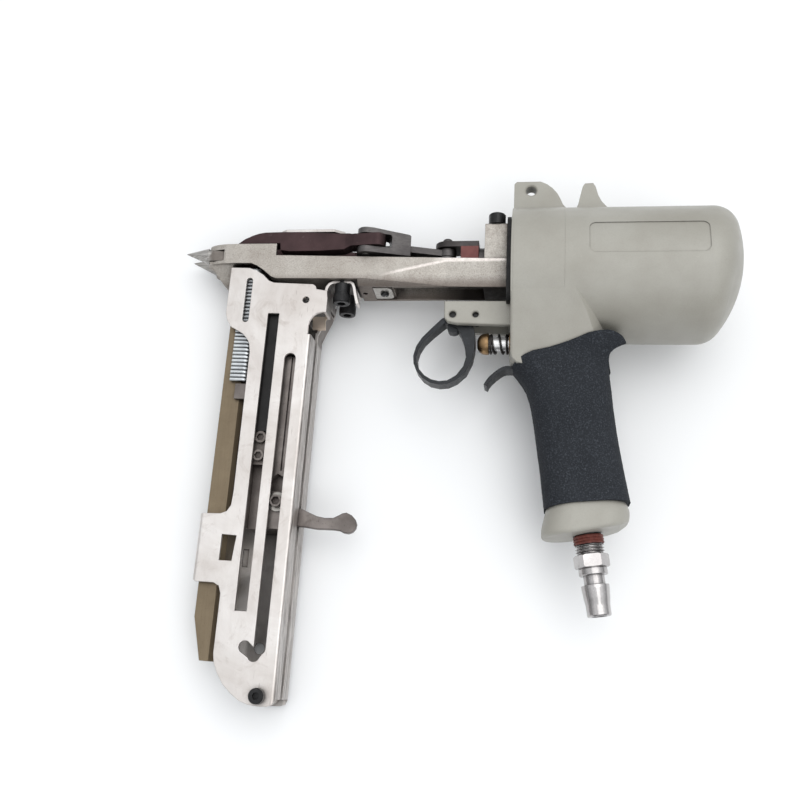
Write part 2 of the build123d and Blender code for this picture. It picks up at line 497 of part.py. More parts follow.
def jaw(side):
    ux, uz = math.cos(LEV_ANG), math.sin(LEV_ANG)

    def at(l, w):
        """point l along the lever line from the pivot, w outwards"""
        return (JAW_X + l * ux - w * uz, JAW_Z + l * uz + w * ux)

    # lever: plan outline times side outline
    lev_plan = plan([at(3.0, -4.2), at(20, -3.9), at(45, -3.3), at(62, -3.2), at(66.5, -4.0), at(LEV_LEN + TAIL, -4.4), at(LEV_LEN + TAIL, 4.4),
                     at(66.5, 4.0), at(62, 3.4), at(45, 3.6), at(20, 4.1), at(8.0, 3.6), at(3.0, 3.0)], -5, 30)
    end = at(LEV_LEN + TAIL, 0)
    lev_plan += rod((end[0], -5, end[1]), (0, 1, 0), 4.4, 35)
    lev_side = prism([(-140.9, 12.8), (-117.4, 12.8), (-117.0, 9.0), (-112.0, 8.2), (-96.0, 7.9), (-84.0, 8.2), (-80.5, 9.8), (-62.0, 9.8),
                      (-62.0, 16.2), (-80.0, 16.2), (-82.0, 16.7), (-88.1, 17.0), (-97.0, 17.8), (-106.1, 18.5), (-116.0, 18.9), (-125.8, 19.0),
                      (-129.4, 18.6), (-132.3, 17.8), (-136.6, 16.1), (-139.6, 14.2), (-140.9, 13.2)], -40, 40)
    lever = lev_plan & lev_side
    # neck that climbs out of the frame beside the pivot
    riser = plan([at(4.4, -4.2), at(10.0, -4.1), at(10.0, 1.3), at(6.5, 2.2), at(5.2, 2.0), at(4.6, 0.0)], 3.8, 13.0)
    # hub between floor and upper lug
    hub = rod((JAW_X, 3.8, JAW_Z), (0, 1, 0), 4.5, 5.5)
    mid = plan([at(-1.0, -4.2), at(7.0, -4.2), at(7.0, 2.0), at(-1.0, 3.0)], 3.8, 9.3)
    # beak: broad behind, then a faceted point with a sharp ridge along its outer side
    beak_plan = plan([(-157.0, 5.9), (-155.2, 5.4), (-151.6, 3.4), (-147.5, 2.4), (-145.0, 2.2),
                      (-144.6, 6.5), (-145.2, 10.6), (-148.0, 11.4), (-152.0, 11.7), (-157.0, 11.6)], 3.8, 9.3)
    sec = [(12.3, 5.5), (12.3, 8.0), (6.3, 11.9), (3.8, 9.2), (3.8, 6.0), (8.2, 4.6)]
    tip = [(10.05 + (y - 8.2) * 0.05, 5.75 + (zc - 7.4) * 0.05) for y, zc in sec]
    back = make_face(Polyline(*[(-155.6, y, zc) for y, zc in sec], close=True))
    front = make_face(Polyline(*[(-168.7, y, zc) for y, zc in tip], close=True))
    point = loft([front, back], ruled=True)
    beak = (beak_plan & box(-155.6, -140, 0, 20, 0, 30)) + point
    beak -= rod((JAW_X, 9.3, JAW_Z), (0, 1, 0), 11.2, 10)
    j = lever + riser + hub + mid + beak
    j -= rod((JAW_X, 0, JAW_Z), (0, 1, 0), 2.5, 30)
    # open pivot: slotted eye for the link pin
    a = at(LEV_LEN - SLOT_FRONT, 0)
    b = at(LEV_LEN + SLOT_REAR, 0)
    slot = rod((a[0], 8, a[1]), (0, 1, 0), 2.6, 14) + rod((b[0], 8, b[1]), (0, 1, 0), 2.6, 14)
    slot += plan([at(LEV_LEN - SLOT_FRONT, -2.6), at(LEV_LEN + SLOT_REAR, -2.6), at(LEV_LEN + SLOT_REAR, 2.6), at(LEV_LEN - SLOT_FRONT, 2.6)], 8, 22)
    j -= slot
    if side < 0:
        j = mirror(j, about=Plane.XY)
    return j


out["jaw_left"] = jaw(1)
out["jaw_right"] = jaw(-1)

# ---------------------------------------------------------------- trigger
t_out = [(-33.6, -24.6), (-34.6, -25.3), (-39.2, -30.0), (-43.7, -34.9), (-46.3, -39.2), (-47.6, -44.4), (-47.2, -48.4), (-45.6, -52.2), (-42.6, -55.7),
         (-38.9, -58.0), (-34.6, -58.9), (-30.2, -58.5), (-26.0, -56.5), (-21.6, -52.3), (-18.8, -46.2), (-17.8, -41.0), (-17.6, -36.8), (-17.9, -31.5),
         (-18.6, -28.8), (-21.5, -28.4), (-24.2, -26.0)]
t_in = [(-32.6, -27.2), (-38.5, -32.4), (-42.6, -36.6), (-45.0, -40.8), (-46.0, -44.8), (-45.6, -48.2), (-44.2, -51.4), (-41.6, -54.4), (-38.2, -56.4),
        (-34.4, -57.2), (-30.4, -56.8), (-26.2, -54.2), (-22.9, -49.6), (-21.7, -45.0), (-22.2, -41.0), (-23.4, -36.3), (-24.9, -32.6), (-26.6, -29.8), (-30.0, -28.2)]
trig = prism(t_out + [TRIG_PIN], -TRIG_HALF, TRIG_HALF) + Pos(TRIG_PIN[0], TRIG_PIN[1], 0) * Cylinder(4.6, 2 * TRIG_HALF, align=CEN)
trig -= prism(t_in, -20, 20)
trig += prism([(-31.4, -25.0), (-31.4, -30.0), (-30.6, -31.2), (-28.6, -31.7), (-26.6, -31.2), (-25.8, -30.0), (-25.8, -25.0)], -2.8, 2.8)
trig -= Pos(TRIG_PIN[0], TRIG_PIN[1], 0) * Cylinder(1.8, 40, align=CEN)
out["trigger"] = trig
out["trigger_pin"] = Pos(TRIG_PIN[0], TRIG_PIN[1], 0) * Cylinder(1.74, 2 * ARM_HALF - 4.4, align=CEN)
out["trigger_stop_pin"] = Pos(STOP_PIN[0], STOP_PIN[1], 0) * Cylinder(1.54, 2 * ARM_HALF - 4.8, align=CEN)

# ---------------------------------------------------------------- trigger valve
vb = tube((-1.0, VALVE_Y, 0), AXX, 5.95, 3.45, 20)
vb -= tube((9.0, VALVE_Y, 0), AXX, 4.8, 3.3, 2.0)
out["valve_bush"] = vb
out["valve_seals"] = tube((9.1, VALVE_Y, 0), AXX, 4.75, 3.45, 1.8)
stem = rod((-11.2, VALVE_Y, 0), AXX, 3.4, 30.0)
stem -= tube((13.0, VALVE_Y, 0), AXX, 6, 2.4, 3.0)
btn = rod((-16.6, VALVE_Y, 0), AXX, 5.3, 5.8)
btn = fillet(btn.edges().filter_by(GeomType.CIRCLE).sort_by(Axis.X)[0], 4.2)
btn = chamfer(btn.edges().filter_by(GeomType.CIRCLE).sort_by(Axis.X)[-1], 0.4)
btn -= rod((-14.0, VALVE_Y, 0), AXX, 3.42, 10)
out["valve_button"] = btn
stem += rod((-13.9, VALVE_Y, 0), AXX, 3.4, 5)
out["valve_stem"] = stem
out["valve_spring"] = coil((-10.75, VALVE_Y, 0), AXX, 4.55, 1.3, 3.0, 9.7)

# ---------------------------------------------------------------- magazine
LEAN = math.radians(MAG_LEAN)
MAG_S = Vector(math.cos(LEAN), -math.sin(LEAN), 0)
MAG_T = Vector(-math.sin(LEAN), -math.cos(LEAN), 0)
MAG = Plane(origin=(MAG_X, 0, 0), x_dir=MAG_S, z_dir=(0, 0, -1))


def mprism(pts, z0, z1):
    """Outline in the magazine's own axes (s to the rear, t away from the nose), between tool heights z0 and z1."""
    f = make_face(Polyline(*pts, close=True))
    return MAG * (Pos(0, 0, -z1) * extrude(f, amount=z1 - z0, dir=(0, 0, 1)))


def mbox(s0, s1, t0, t1, z0, z1):
    return mprism([(s0, t0), (s1, t0), (s1, t1), (s0, t1)], z0, z1)


def mcyl(s, t, r, z0, z1):
    return MAG * (Pos(s, t, -z1) * Cylinder(r, z1 - z0, align=MID))


H0, H1 = MAG_HALF - SHEET, MAG_HALF
plate_pts = [
    (-21.4, 1.1), (-12.0, 1.2), (-8.1, 2.6), (-4.5, 4.8), (-1.2, 8.0), (1.5, 9.0), (21.6, 9.6), (23.1, 10.6), (23.6, 12.2), (29.0, 13.0),
    (28.6, 17.0), (26.9, 22.0), (24.6, 27.5), (23.1, 31.5), (23.0, 40.0),
    (23.0, 208.6), (22.0, 211.0), (19.6, 211.8), (15.4, 212.0), (11.1, 211.6), (6.5, 210.0), (2.5, 207.2), (-1.5, 203.6), (-4.7, 198.9), (-6.7, 194.6), (-7.4, 190.4),
    (-7.4, 163.6), (-8.6, 160.2), (-11.4, 158.8), (-20.3, 158.7), (-21.9, 157.6), (-21.9, 127.4), (-20.6, 126.8), (-11.9, 126.6), (-9.0, 125.4), (-7.2, 122.4), (-6.8, 115.7),
    (-6.9, 46.2), (-7.7, 41.5), (-9.0, 39.2), (-11.6, 36.4), (-15.0, 34.5), (-18.0, 32.9), (-20.3, 29.8), (-21.5, 25.8)]


# the front side runs on further behind the bracket, down to its notch
front_pts = [q for q in plate_pts if q not in ((28.6, 17.0), (26.9, 22.0), (24.6, 27.5))]
k = front_pts.index((29.0, 13.0))
front_pts[k + 1:k + 1] = [(29.6, 17.0), (29.6, 26.0), (25.0, 30.0)]


def plate_half(front):
    p = mprism(front_pts if front else plate_pts, H0, H1)
    if front:
        p += mbox(28.4, 29.6, 18.8, 25.0, 2.3, H1)
    # front wall round the ring channel at the nose end, and the clip round the rail
    p += mbox(-21.5, -20.05, 1.1, 25.5, 0.25, H1)
    p += mbox(-21.9, -20.05, 127.0, 157.9, 0.25, H1)
    # rear flange, leaving the slot that the pusher handle runs in
    p += mbox(23.0 - SHEET, 23.0, 30.0, 208.6, 2.3, H1)
    if not front:
        p += mprism([(28.06, 18.6), (26.9, 22.0), (24.6, 27.5), (23.0, 31.5), (23.0, 33.0), (21.5, 33.0), (21.5, 31.5), (23.1, 27.0), (25.4, 21.5), (26.5, 18.3)], 2.3, H1)
        p += mprism([(19.5, 21.6), (26.1, 21.5), (26.7, 28.4), (20.1, 28.5)], 1.0, 2.6)
    # bend radii
    def bend(part, s_pos, length):
        es = [e for e in part.edges() if abs(e.length - length) < 3.5 and e.geom_type == GeomType.LINE
              and abs((e.center() - Vector(MAG_X, 0, 0)).dot(MAG_S) - s_pos) < 0.35 and abs(abs(e.center().Z) - H1) < 0.05
              and abs((e @ 1 - e @ 0).normalized().dot(MAG_T)) > 0.99]
        return soft(part, es, 1.9) if es else part
    p = bend(p, 23.0, 168.6)
    p = bend(p, -21.9, 30.2)
    p = bend(p, -21.45, 24.7)
    # openings
    p -= mbox(-12.7, -9.5, 8.2, 28.7, 5, 20)
    p -= mcyl(-11.1, 8.2, 1.6, 5, 20) + mcyl(-11.1, 28.7, 1.6, 5, 20)
    if front:
        p -= mbox(0.2, 6.0, 25.4, 171.0, 5, 20)
        p -= mbox(11.0, 16.7, 48.9, 187.0, 5, 20)
        p -= mcyl(13.85, 48.9, 2.85, 5, 20)
    # hook at the end of the second slot, where the pusher can be parked
    hook = mcyl(6.9, 186.8, 2.9, 5, 20) + mcyl(13.8, 187.0, 2.9, 5, 20) + mcyl(11.4, 190.2, 2.9, 5, 20)
    hook += mprism([(4.9, 188.9), (8.9, 184.7), (13.0, 188.2), (11.4, 193.1)], 5, 20) + mprism([(9.4, 192.3), (13.2, 188.0), (16.7, 187.0), (13.9, 191.7)], 5, 20)
    if front:
        p -= hook
        p -= mcyl(18.8, 18.0, 1.75, 5, 20)
        p -= mprism([(21.3, 36.0), (21.3, 31.0), (21.9, 28.6), (23.2, 26.4), (25.0, 24.9), (27.2, 24.3), (34.0, 24.3), (34.0, 36.0)], 1.0, 20)
        p -= mprism([(-10.0, 136.3), (-2.8, 136.6), (-3.2, 140.2), (-3.9, 148.5), (-10.1, 148.5)], 5, 20)
    else:
        p -= mcyl(6.9, 186.4, 2.6, 5, 20)
        # shallow pressing on the inner face
        p -= mbox(-6.3, -3.3, 139.7, 148.5, 5, H0 + 0.9)
    p -= mcyl(15.4, 207.6, 2.05, 5, 20)
    return p


pf = plate_half(True)
pb_ = plate_half(False)
pb_ = mirror(pb_, about=Plane.XY)
out["magazine_front"] = pf
out["magazine_back"] = pb_

rail_pts = [(-20.0, 2.0), (-9.2, 2.0), (-9.2, 194.0), (-15.3, 194.0), (-20.0, 174.5)]
rail = mprism(rail_pts, -RAIL_HALF, RAIL_HALF)
es = [e for e in rail.edges() if e.length > 150 and abs((e.center() - Vector(MAG_X, 0, 0)).dot(MAG_S) + 9.2) < 2.2]
rail = chamfer(es, 1.9)
out["ring_rail"] = rail

rings = []
ring_line = FilletPolyline((-16.2, 10.0), (-7.6, 10.0), (-7.6, -10.0), (-16.2, -10.0), radius=2.6)
one = sweep(Plane(origin=ring_line @ 0, z_dir=ring_line % 0) * Circle(RING_WIRE / 2), path=ring_line)
for i in range(RING_COUNT):
    t = 1.2 + RING_PITCH * i
    pl = Plane(origin=Vector(MAG_X, 0, 0) + MAG_T * t, x_dir=MAG_S, z_dir=MAG_T)
    rings.append((pl * one).solid())
out["hog_rings"] = Compound(rings)

# bracket: a strap bent over two screws under the nose frame
arch = [(-92.4, -17.8), (-92.4, -13.0), (-91.9, -10.5), (-90.6, -8.7), (-88.9, -7.75), (-80.3, -7.75), (-79.0, -8.7), (-78.2, -10.6), (-77.5, -14.0), (-76.7, -17.0), (-76.0, -19.4)]
br = strip(arch, 1.4, -11.0, 10.4)
br -= box(-80.4, -70, -30, -9.0, -12, 4.4)
for s in (1, -1):
    br -= rod((-84.5, -9.5, s * 8.0), (0, 1, 0), 2.55, 4)
br += box(-93.1, -91.7, -17.8, -13.4, -11.45, 11.45)
out["magazine_bracket"] = br
out["bracket_screws"] = Compound([cap_screw((-84.5, -13.6, s * 8.0), (0, -1, 0), 5, 9.2).solid() for s in (1, -1)])
out["bracket_spacers"] = Compound([tube((-84.5, -13.55, s * 8.0), (0, 1, 0), 3.9, 2.6, 5.0).solid() for s in (1, -1)])

es_screw = cap_screw(Vector(MAG_X, 0, 0) + MAG_S * 15.4 + MAG_T * 207.6 + Vector(0, 0, MAG_HALF + 0.05), (0, 0, 1), 4, 25.5)
out["end_screw"] = es_screw
out["end_spacer"] = mcyl(15.4, 207.6, 3.9, -11.45, 11.45) - mcyl(15.4, 207.6, 2.05, -20, 20)
out["end_nut"] = (MAG * (Pos(15.4, 207.6, MAG_HALF + 0.05) * extrude(RegularPolygon(4.0, 6, major_radius=False), amount=2.7))) - mcyl(15.4, 207.6, 2.05, -30, 30)

# ---------------------------------------------------------------- ring pusher
car = mprism([(-5.9, 66.0), (7.5, 66.0), (8.6, 60.0), (8.6, 50.0), (10.5, 46.5), (17.0, 46.5), (19.5, 50.0), (19.5, 132.0), (-1.0, 132.0), (-1.0, 103.0), (-5.9, 98.0)], -9.0, 8.4)
car -= mprism([(8.8, 109.0), (12.5, 105.5), (15.5, 107.0), (19.6, 104.0), (19.6, 114.0), (8.8, 114.0)], 3.0, 12)
car -= mbox(-0.6, 8.4, 101.5, 133, 4.0, 12)
car -= mbox(-6.5, 8.2, 65, 86.0, 5.6, 12)
car -= mbox(13.6, 14.3, 40, 104, 7.2, 12)
car -= mcyl(13.85, 119.2, 2.05, -2, 20)
for ss, tt in ((2.6, 88.2), (2.4, 97.2)):
    car -= mcyl(ss, tt, 1.55, -2, 20)
car -= mbox(16.0, 30, 119.6, 129.4, -1.75, 1.75)
car -= mbox(-9.5, -4.0, 60.5, 99.0, -2.6, 2.6)
out["pusher_carriage"] = car

shoe = mbox(-13.0, -8.4, 61.7, 69.4, 8.75, 10.6) + mbox(-13.0, -8.4, 61.7, 69.4, -10.6, -8.75) + mbox(-8.7, -6.3, 61.7, 69.4, -10.6, 10.6)
shoe += mbox(-8.0, -6.2, 61.7, 97.0, -2.3, 2.3)
out["pusher_shoe"] = shoe

hd = mprism([(16.2, 119.8), (21.0, 119.9), (24.5, 120.8), (27.2, 122.0), (32.0, 123.9), (35.7, 124.5), (40.0, 124.3), (42.4, 123.0), (44.2, 121.9), (46.1, 121.5), (48.6, 122.6), (50.5, 124.5),
             (51.4, 126.8), (51.0, 129.0), (49.7, 130.7), (47.6, 131.5), (45.3, 131.2), (43.5, 130.3), (40.0, 130.0), (32.6, 130.1), (26.5, 129.4), (22.4, 129.2), (16.2, 129.2)], -1.7, 1.7)
hd = soft(hd, hd.faces().filter_by(Axis.Z).edges(), 0.5)
out["pusher_handle"] = hd

ps = []
for ss, tt, r_h in ((2.6, 88.2, 2.85), (2.4, 97.2, 2.7)):
    hh = Cylinder(r_h, 2.2, align=MID) - Pos(0, 0, 2.2) * extrude(RegularPolygon(1.6, 6, major_radius=False), amount=-1.7)
    hh += Pos(0, 0, -7) * Cylinder(1.5, 7.1, align=MID)
    ps.append((Plane(origin=Vector(MAG_X, 0, 0) + MAG_S * ss + MAG_T * tt + Vector(0, 0, 8.45), z_dir=(0, 0, 1)) * hh).solid())
hh = Cylinder(2.75, 3.2, align=MID) - Pos(0, 0, 3.2) * extrude(RegularPolygon(1.85, 6, major_radius=False), amount=-2.4)
hh += Pos(0, 0, -8) * Cylinder(2.0, 8.1, align=MID)
ps.append((Plane(origin=Vector(MAG_X, 0, 0) + MAG_S * 13.85 + MAG_T * 119.2 + Vector(0, 0, 9.35), z_dir=(0, 0, 1)) * hh).solid())
out["pusher_screws"] = Compound(ps)
out["pusher_washer"] = mcyl(13.85, 119.2, 4.6, 8.45, 9.3) - mcyl(13.85, 119.2, 2.05, 0, 20)

# rolled feed spring: a coil of strip under the nose end of the magazine, its
# tongue runs down behind the first slot to the carriage
ROLL_T, ROLL_H, ROLL_R = 17.6, 4.2, 5.6


def mrod(s0, s1, t, h, r):
    """round bar across the magazine"""
    p = Vector(MAG_X, 0, h) + MAG_S * s0 + MAG_T * t
    return Plane(origin=p, z_dir=MAG_S) * Cylinder(r, s1 - s0, align=MID)


cradle = mbox(-2.9, -1.5, 13.4, 21.8, -11.45, 6.6) + mbox(7.7, 9.1, 13.4, 21.8, -11.45, 6.6) + mbox(-2.9, 9.1, 13.4, 21.8, -11.45, -9.9)
cradle -= mrod(-10, 20, ROLL_T, ROLL_H, 1.55)
out["spring_cradle"] = cradle
out["feed_spring_pin"] = mrod(-3.6, 9.8, ROLL_T, ROLL_H, 1.5)
fs = mrod(-1.0, 7.2, ROLL_T, ROLL_H, ROLL_R) - mrod(-5, 12, ROLL_T, ROLL_H, ROLL_R - 2.4)
fs += mbox(-1.0, 7.2, ROLL_T, 85.1, ROLL_H + ROLL_R - 0.35, ROLL_H + ROLL_R)
out["feed_spring"] = fs

# ---------------------------------------------------------------- lay it down
lie = Location(SHIFT) * Rot(ROLL, 0, 0) * Rot(0, -PITCH, 0)
lo = [1e9] * 3
hi = [-1e9] * 3
for name, shape in out.items():
    shape = lie * shape
    shape.label = name
    bb = shape.bounding_box()
    for i, (a, b) in enumerate(((bb.min.X, bb.max.X), (bb.min.Y, bb.max.Y), (bb.min.Z, bb.max.Z))):
        lo[i] = min(lo[i], a)
        hi[i] = max(hi[i], b)
    export_step(shape, f"parts/{name}.step")
print("nodes", len(out))
print("low", [round(v, 3) for v in lo], "high", [round(v, 3) for v in hi])
print("shift for a centred base", [round(-(lo[0] + hi[0]) / 2, 3), round(-(lo[1] + hi[1]) / 2, 3), round(-lo[2], 3)])
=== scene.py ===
import bpy
import bmesh
import json
import math
from mathutils import Matrix, Vector, noise


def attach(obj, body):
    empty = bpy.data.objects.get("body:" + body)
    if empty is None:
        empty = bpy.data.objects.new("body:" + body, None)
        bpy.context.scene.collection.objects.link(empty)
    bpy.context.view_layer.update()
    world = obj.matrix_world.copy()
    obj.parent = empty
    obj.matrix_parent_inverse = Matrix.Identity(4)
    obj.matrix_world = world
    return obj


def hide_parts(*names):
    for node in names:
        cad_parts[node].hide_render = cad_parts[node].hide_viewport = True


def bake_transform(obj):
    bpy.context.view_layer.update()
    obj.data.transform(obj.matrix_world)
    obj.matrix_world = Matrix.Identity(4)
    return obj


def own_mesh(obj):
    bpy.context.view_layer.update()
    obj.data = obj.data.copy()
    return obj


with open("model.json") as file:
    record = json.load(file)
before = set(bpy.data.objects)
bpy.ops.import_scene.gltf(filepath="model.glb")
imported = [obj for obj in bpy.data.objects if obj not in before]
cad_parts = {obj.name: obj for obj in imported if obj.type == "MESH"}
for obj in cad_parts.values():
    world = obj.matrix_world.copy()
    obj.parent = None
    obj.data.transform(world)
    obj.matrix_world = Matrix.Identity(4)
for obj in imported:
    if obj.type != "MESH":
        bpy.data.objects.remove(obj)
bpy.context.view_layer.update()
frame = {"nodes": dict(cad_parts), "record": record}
nodes = frame["nodes"]

# ---------------------------------------------------------------- axes
# The tool's own axes: X to the rear of the barrel, Y up to the hanging lug, Z across it.
# LIE lays them on the table, as in the construction.
PITCH, ROLL = math.radians(7.035), math.radians(1.050)
SHIFT = Vector((0.029047, 0.081322, 0.033391))
TURN = Matrix.Rotation(ROLL, 4, "X") @ Matrix.Rotation(-PITCH, 4, "Y")
LIE = Matrix.Translation(SHIFT) @ TURN


def at(x, y, z):
    """tool millimetres to row metres"""
    return LIE @ Vector((x / 1000, y / 1000, z / 1000))


def along(x, y, z):
    return (TURN.to_3x3() @ Vector((x, y, z))).normalized()


LEAN = math.radians(1.05)
MAG_S = Vector((math.cos(LEAN), -math.sin(LEAN), 0))
MAG_T = Vector((-math.sin(LEAN), -math.cos(LEAN), 0))


def mag(s, t, h):
    """magazine millimetres (s to the rear, t away from the nose, h across) to row metres"""
    p = Vector((-120.0, 0, h)) + MAG_S * s + MAG_T * t
    return at(p.x, p.y, p.z)


# ---------------------------------------------------------------- material kit
def lin(r, g, b):
    def f(c):
        c /= 255
        return c / 12.92 if c <= 0.04045 else ((c + 0.055) / 1.055) ** 2.4
    return (f(r), f(g), f(b), 1.0)


class Mat:
    """A principled material with node helpers. Textures are laid out in the tool's axes, in metres."""

    def __init__(self, name, rough=0.5, metal=0.0, **fixed):
        self.mat = bpy.data.materials.new(name)
        self.mat.use_nodes = True
        self.nt = self.mat.node_tree
        self.nt.nodes.clear()
        self.out = self.new("ShaderNodeOutputMaterial")
        self.bsdf = self.new("ShaderNodeBsdfPrincipled")
        self.nt.links.new(self.bsdf.outputs[0], self.out.inputs[0])
        self.bsdf.inputs["Roughness"].default_value = rough
        self.bsdf.inputs["Metallic"].default_value = metal
        for k, v in fixed.items():
            self.bsdf.inputs[k.replace("_", " ")].default_value = v
        tc = self.new("ShaderNodeTexCoord")
        mp = self.new("ShaderNodeMapping")
        mp.vector_type = "TEXTURE"
        mp.inputs["Location"].default_value = SHIFT
        mp.inputs["Rotation"].default_value = TURN.to_euler("XYZ")
        self.link(tc.outputs["Object"], mp.inputs["Vector"])
        self.tool = mp.outputs[0]

    def new(self, kind):
        return self.nt.nodes.new(kind)

    def link(self, a, b):
        self.nt.links.new(a, b)

    def put(self, socket, v):
        if hasattr(v, "is_output"):
            self.link(v, socket)
        else:
            socket.default_value = v

    def stretch(self, sx, sy, sz, turn=(0, 0, 0)):
        m = self.new("ShaderNodeMapping")
        m.inputs["Scale"].default_value = (sx, sy, sz)
        m.inputs["Rotation"].default_value = turn
        self.link(self.tool, m.inputs["Vector"])
        return m.outputs[0]

    def noise(self, scale, detail=3.0, rough=0.55, vec=None, distort=0.0):
        n = self.new("ShaderNodeTexNoise")
        n.inputs["Scale"].default_value = scale
        n.inputs["Detail"].default_value = detail
        n.inputs["Roughness"].default_value = rough
        n.inputs["Distortion"].default_value = distort
        self.link(vec or self.tool, n.inputs["Vector"])
        return n.outputs["Fac"]

    def cells(self, scale, vec=None, feature="F1", randomness=1.0):
        n = self.new("ShaderNodeTexVoronoi")
        n.feature = feature
        n.inputs["Scale"].default_value = scale
        n.inputs["Randomness"].default_value = randomness
        self.link(vec or self.tool, n.inputs["Vector"])
        return n.outputs["Distance"]

    def axis(self, i):
        s = self.new("ShaderNodeSeparateXYZ")
        self.link(self.tool, s.inputs[0])
        return s.outputs[i]

    def fit(self, fac, a, b, c=0.0, d=1.0, smooth=False):
        m = self.new("ShaderNodeMapRange")
        if smooth:
            m.interpolation_type = "SMOOTHSTEP"
        m.inputs["From Min"].default_value = a
        m.inputs["From Max"].default_value = b
        m.inputs["To Min"].default_value = c
        m.inputs["To Max"].default_value = d
        self.link(fac, m.inputs["Value"])
        return m.outputs["Result"]

    def calc(self, op, a, b=0.0, clamp=False):
        m = self.new("ShaderNodeMath")
        m.operation = op
        m.use_clamp = clamp
        self.put(m.inputs[0], a)
        self.put(m.inputs[1], b)
        return m.outputs[0]

    def mix(self, fac, a, b, how="MIX"):
        m = self.new("ShaderNodeMix")
        m.data_type = "RGBA"
        m.blend_type = how
        self.put(m.inputs[0], fac)
        self.put(m.inputs[6], a)
        self.put(m.inputs[7], b)
        return m.outputs[2]

    def colour(self, c):
        self.link(c, self.bsdf.inputs["Base Color"])

    def roughness(self, v):
        self.link(v, self.bsdf.inputs["Roughness"])

    def metallic(self, v):
        self.link(v, self.bsdf.inputs["Metallic"])

    def crevice(self, reach, low=0.35, high=0.85):
        """0 in the open, 1 deep in corners and gaps"""
        a = self.new("ShaderNodeAmbientOcclusion")
        a.samples = 6
        a.inputs["Distance"].default_value = reach
        return self.fit(a.outputs["AO"], low, high, 1.0, 0.0)

    def painted_shade_and_grime(self, c, dark, reach=0.006, amount=0.8, low=0.3, high=0.85):
        """painted shade in corners and gaps where light is blocked, with some dirt, broken up by noise"""
        g = self.calc("MULTIPLY", self.crevice(reach, low, high), self.fit(self.noise(240, 4.0, 0.65), 0.25, 0.6, 0.55 * amount, amount))
        return self.mix(g, c, dark)

    def relief(self, *layers, edge=0.0):
        """layers of (height, strength, depth in metres); edge rounds sharp corners in the shading"""
        normal = None
        if edge:
            b = self.new("ShaderNodeBevel")
            b.samples = 4
            b.inputs["Radius"].default_value = edge
            normal = b.outputs[0]
        for height, strength, depth in layers:
            b = self.new("ShaderNodeBump")
            b.inputs["Strength"].default_value = strength
            b.inputs["Distance"].default_value = depth
            self.link(height, b.inputs["Height"])
            if normal is not None:
                self.link(normal, b.inputs["Normal"])
            normal = b.outputs[0]
        if normal is not None:
            self.link(normal, self.bsdf.inputs["Normal"])


def steel(name, light, dark, rough=(0.3, 0.45), metal=0.9, grain="none", specks=None, stain=None, edge=0.00025, bump=0.15, patch=45):
    """metal with patchy tone, optional brushed grain along a tool axis, specks and stains"""
    m = Mat(name, metal=metal)
    tone = m.noise(patch, 4.0, 0.6)
    c = m.mix(m.fit(tone, 0.3, 0.7), light, dark)
    layers = []
    if grain != "none":
        sc = {"x": (25, 1400, 1400), "y": (1400, 25, 1400), "z": (1400, 1400, 25)}[grain]
        g = m.noise(1.0, 2.0, 0.6, m.stretch(*sc))
        c = m.mix(m.fit(g, 0.35, 0.75, 0.0, 0.35), c, dark)
        layers.append((g, bump, 0.00006))
        r = m.fit(g, 0.3, 0.7, rough[0], rough[1])
    else:
        g = m.noise(1700, 2.0, 0.6)
        layers.append((g, bump, 0.00006))
        r = m.fit(m.noise(260, 3.0, 0.6), 0.3, 0.7, rough[0], rough[1])
    if specks:
        s = m.fit(m.noise(900, 2.0, 0.7), 0.62, 0.72)
        c = m.mix(m.calc("MULTIPLY", s, 0.55), c, specks)
    if stain:
        s = m.fit(m.noise(70, 5.0, 0.7, distort=0.6), 0.56, 0.74)
        c = m.mix(m.calc("MULTIPLY", s, 0.6), c, stain)
    # painted shade in corners and gaps, with some dirt
    c = m.painted_shade_and_grime(c, lin(34, 28, 26), 0.005, 0.85)
    m.colour(c)
    m.roughness(r)
    m.relief(*layers, edge=edge)
    return m.mat


# painted casting: satin, faintly mottled, fine orange peel
def make_paint():
    m = Mat("body_paint", rough=0.42)
    m.bsdf.inputs["Specular IOR Level"].default_value = 0.45
    tone = m.noise(28, 4.0, 0.6)
    c = m.mix(m.fit(tone, 0.3, 0.7), lin(168, 166, 158), lin(155, 152, 143))
    fine = m.noise(1500, 2.0, 0.6)
    c = m.mix(m.fit(fine, 0.45, 0.75, 0.0, 0.18), c, lin(136, 132, 122))
    rub = m.fit(m.noise(160, 5.0, 0.75, distort=0.8), 0.66, 0.76, 0.0, 0.35)
    c = m.mix(rub, c, lin(190, 187, 178))
    # painted shade in corners and gaps, reaching into the arm's slot, with some dirt
    c = m.painted_shade_and_grime(c, lin(38, 36, 32), 0.010, 0.85, 0.2, 0.46)
    m.colour(c)
    m.roughness(m.fit(m.noise(110, 3.0, 0.6), 0.3, 0.7, 0.34, 0.48))
    m.relief((m.noise(70, 2.0, 0.5), 0.10, 0.0006), (m.noise(1300, 2.0, 0.55), 0.10, 0.00008), edge=0.0006)
    return m.mat


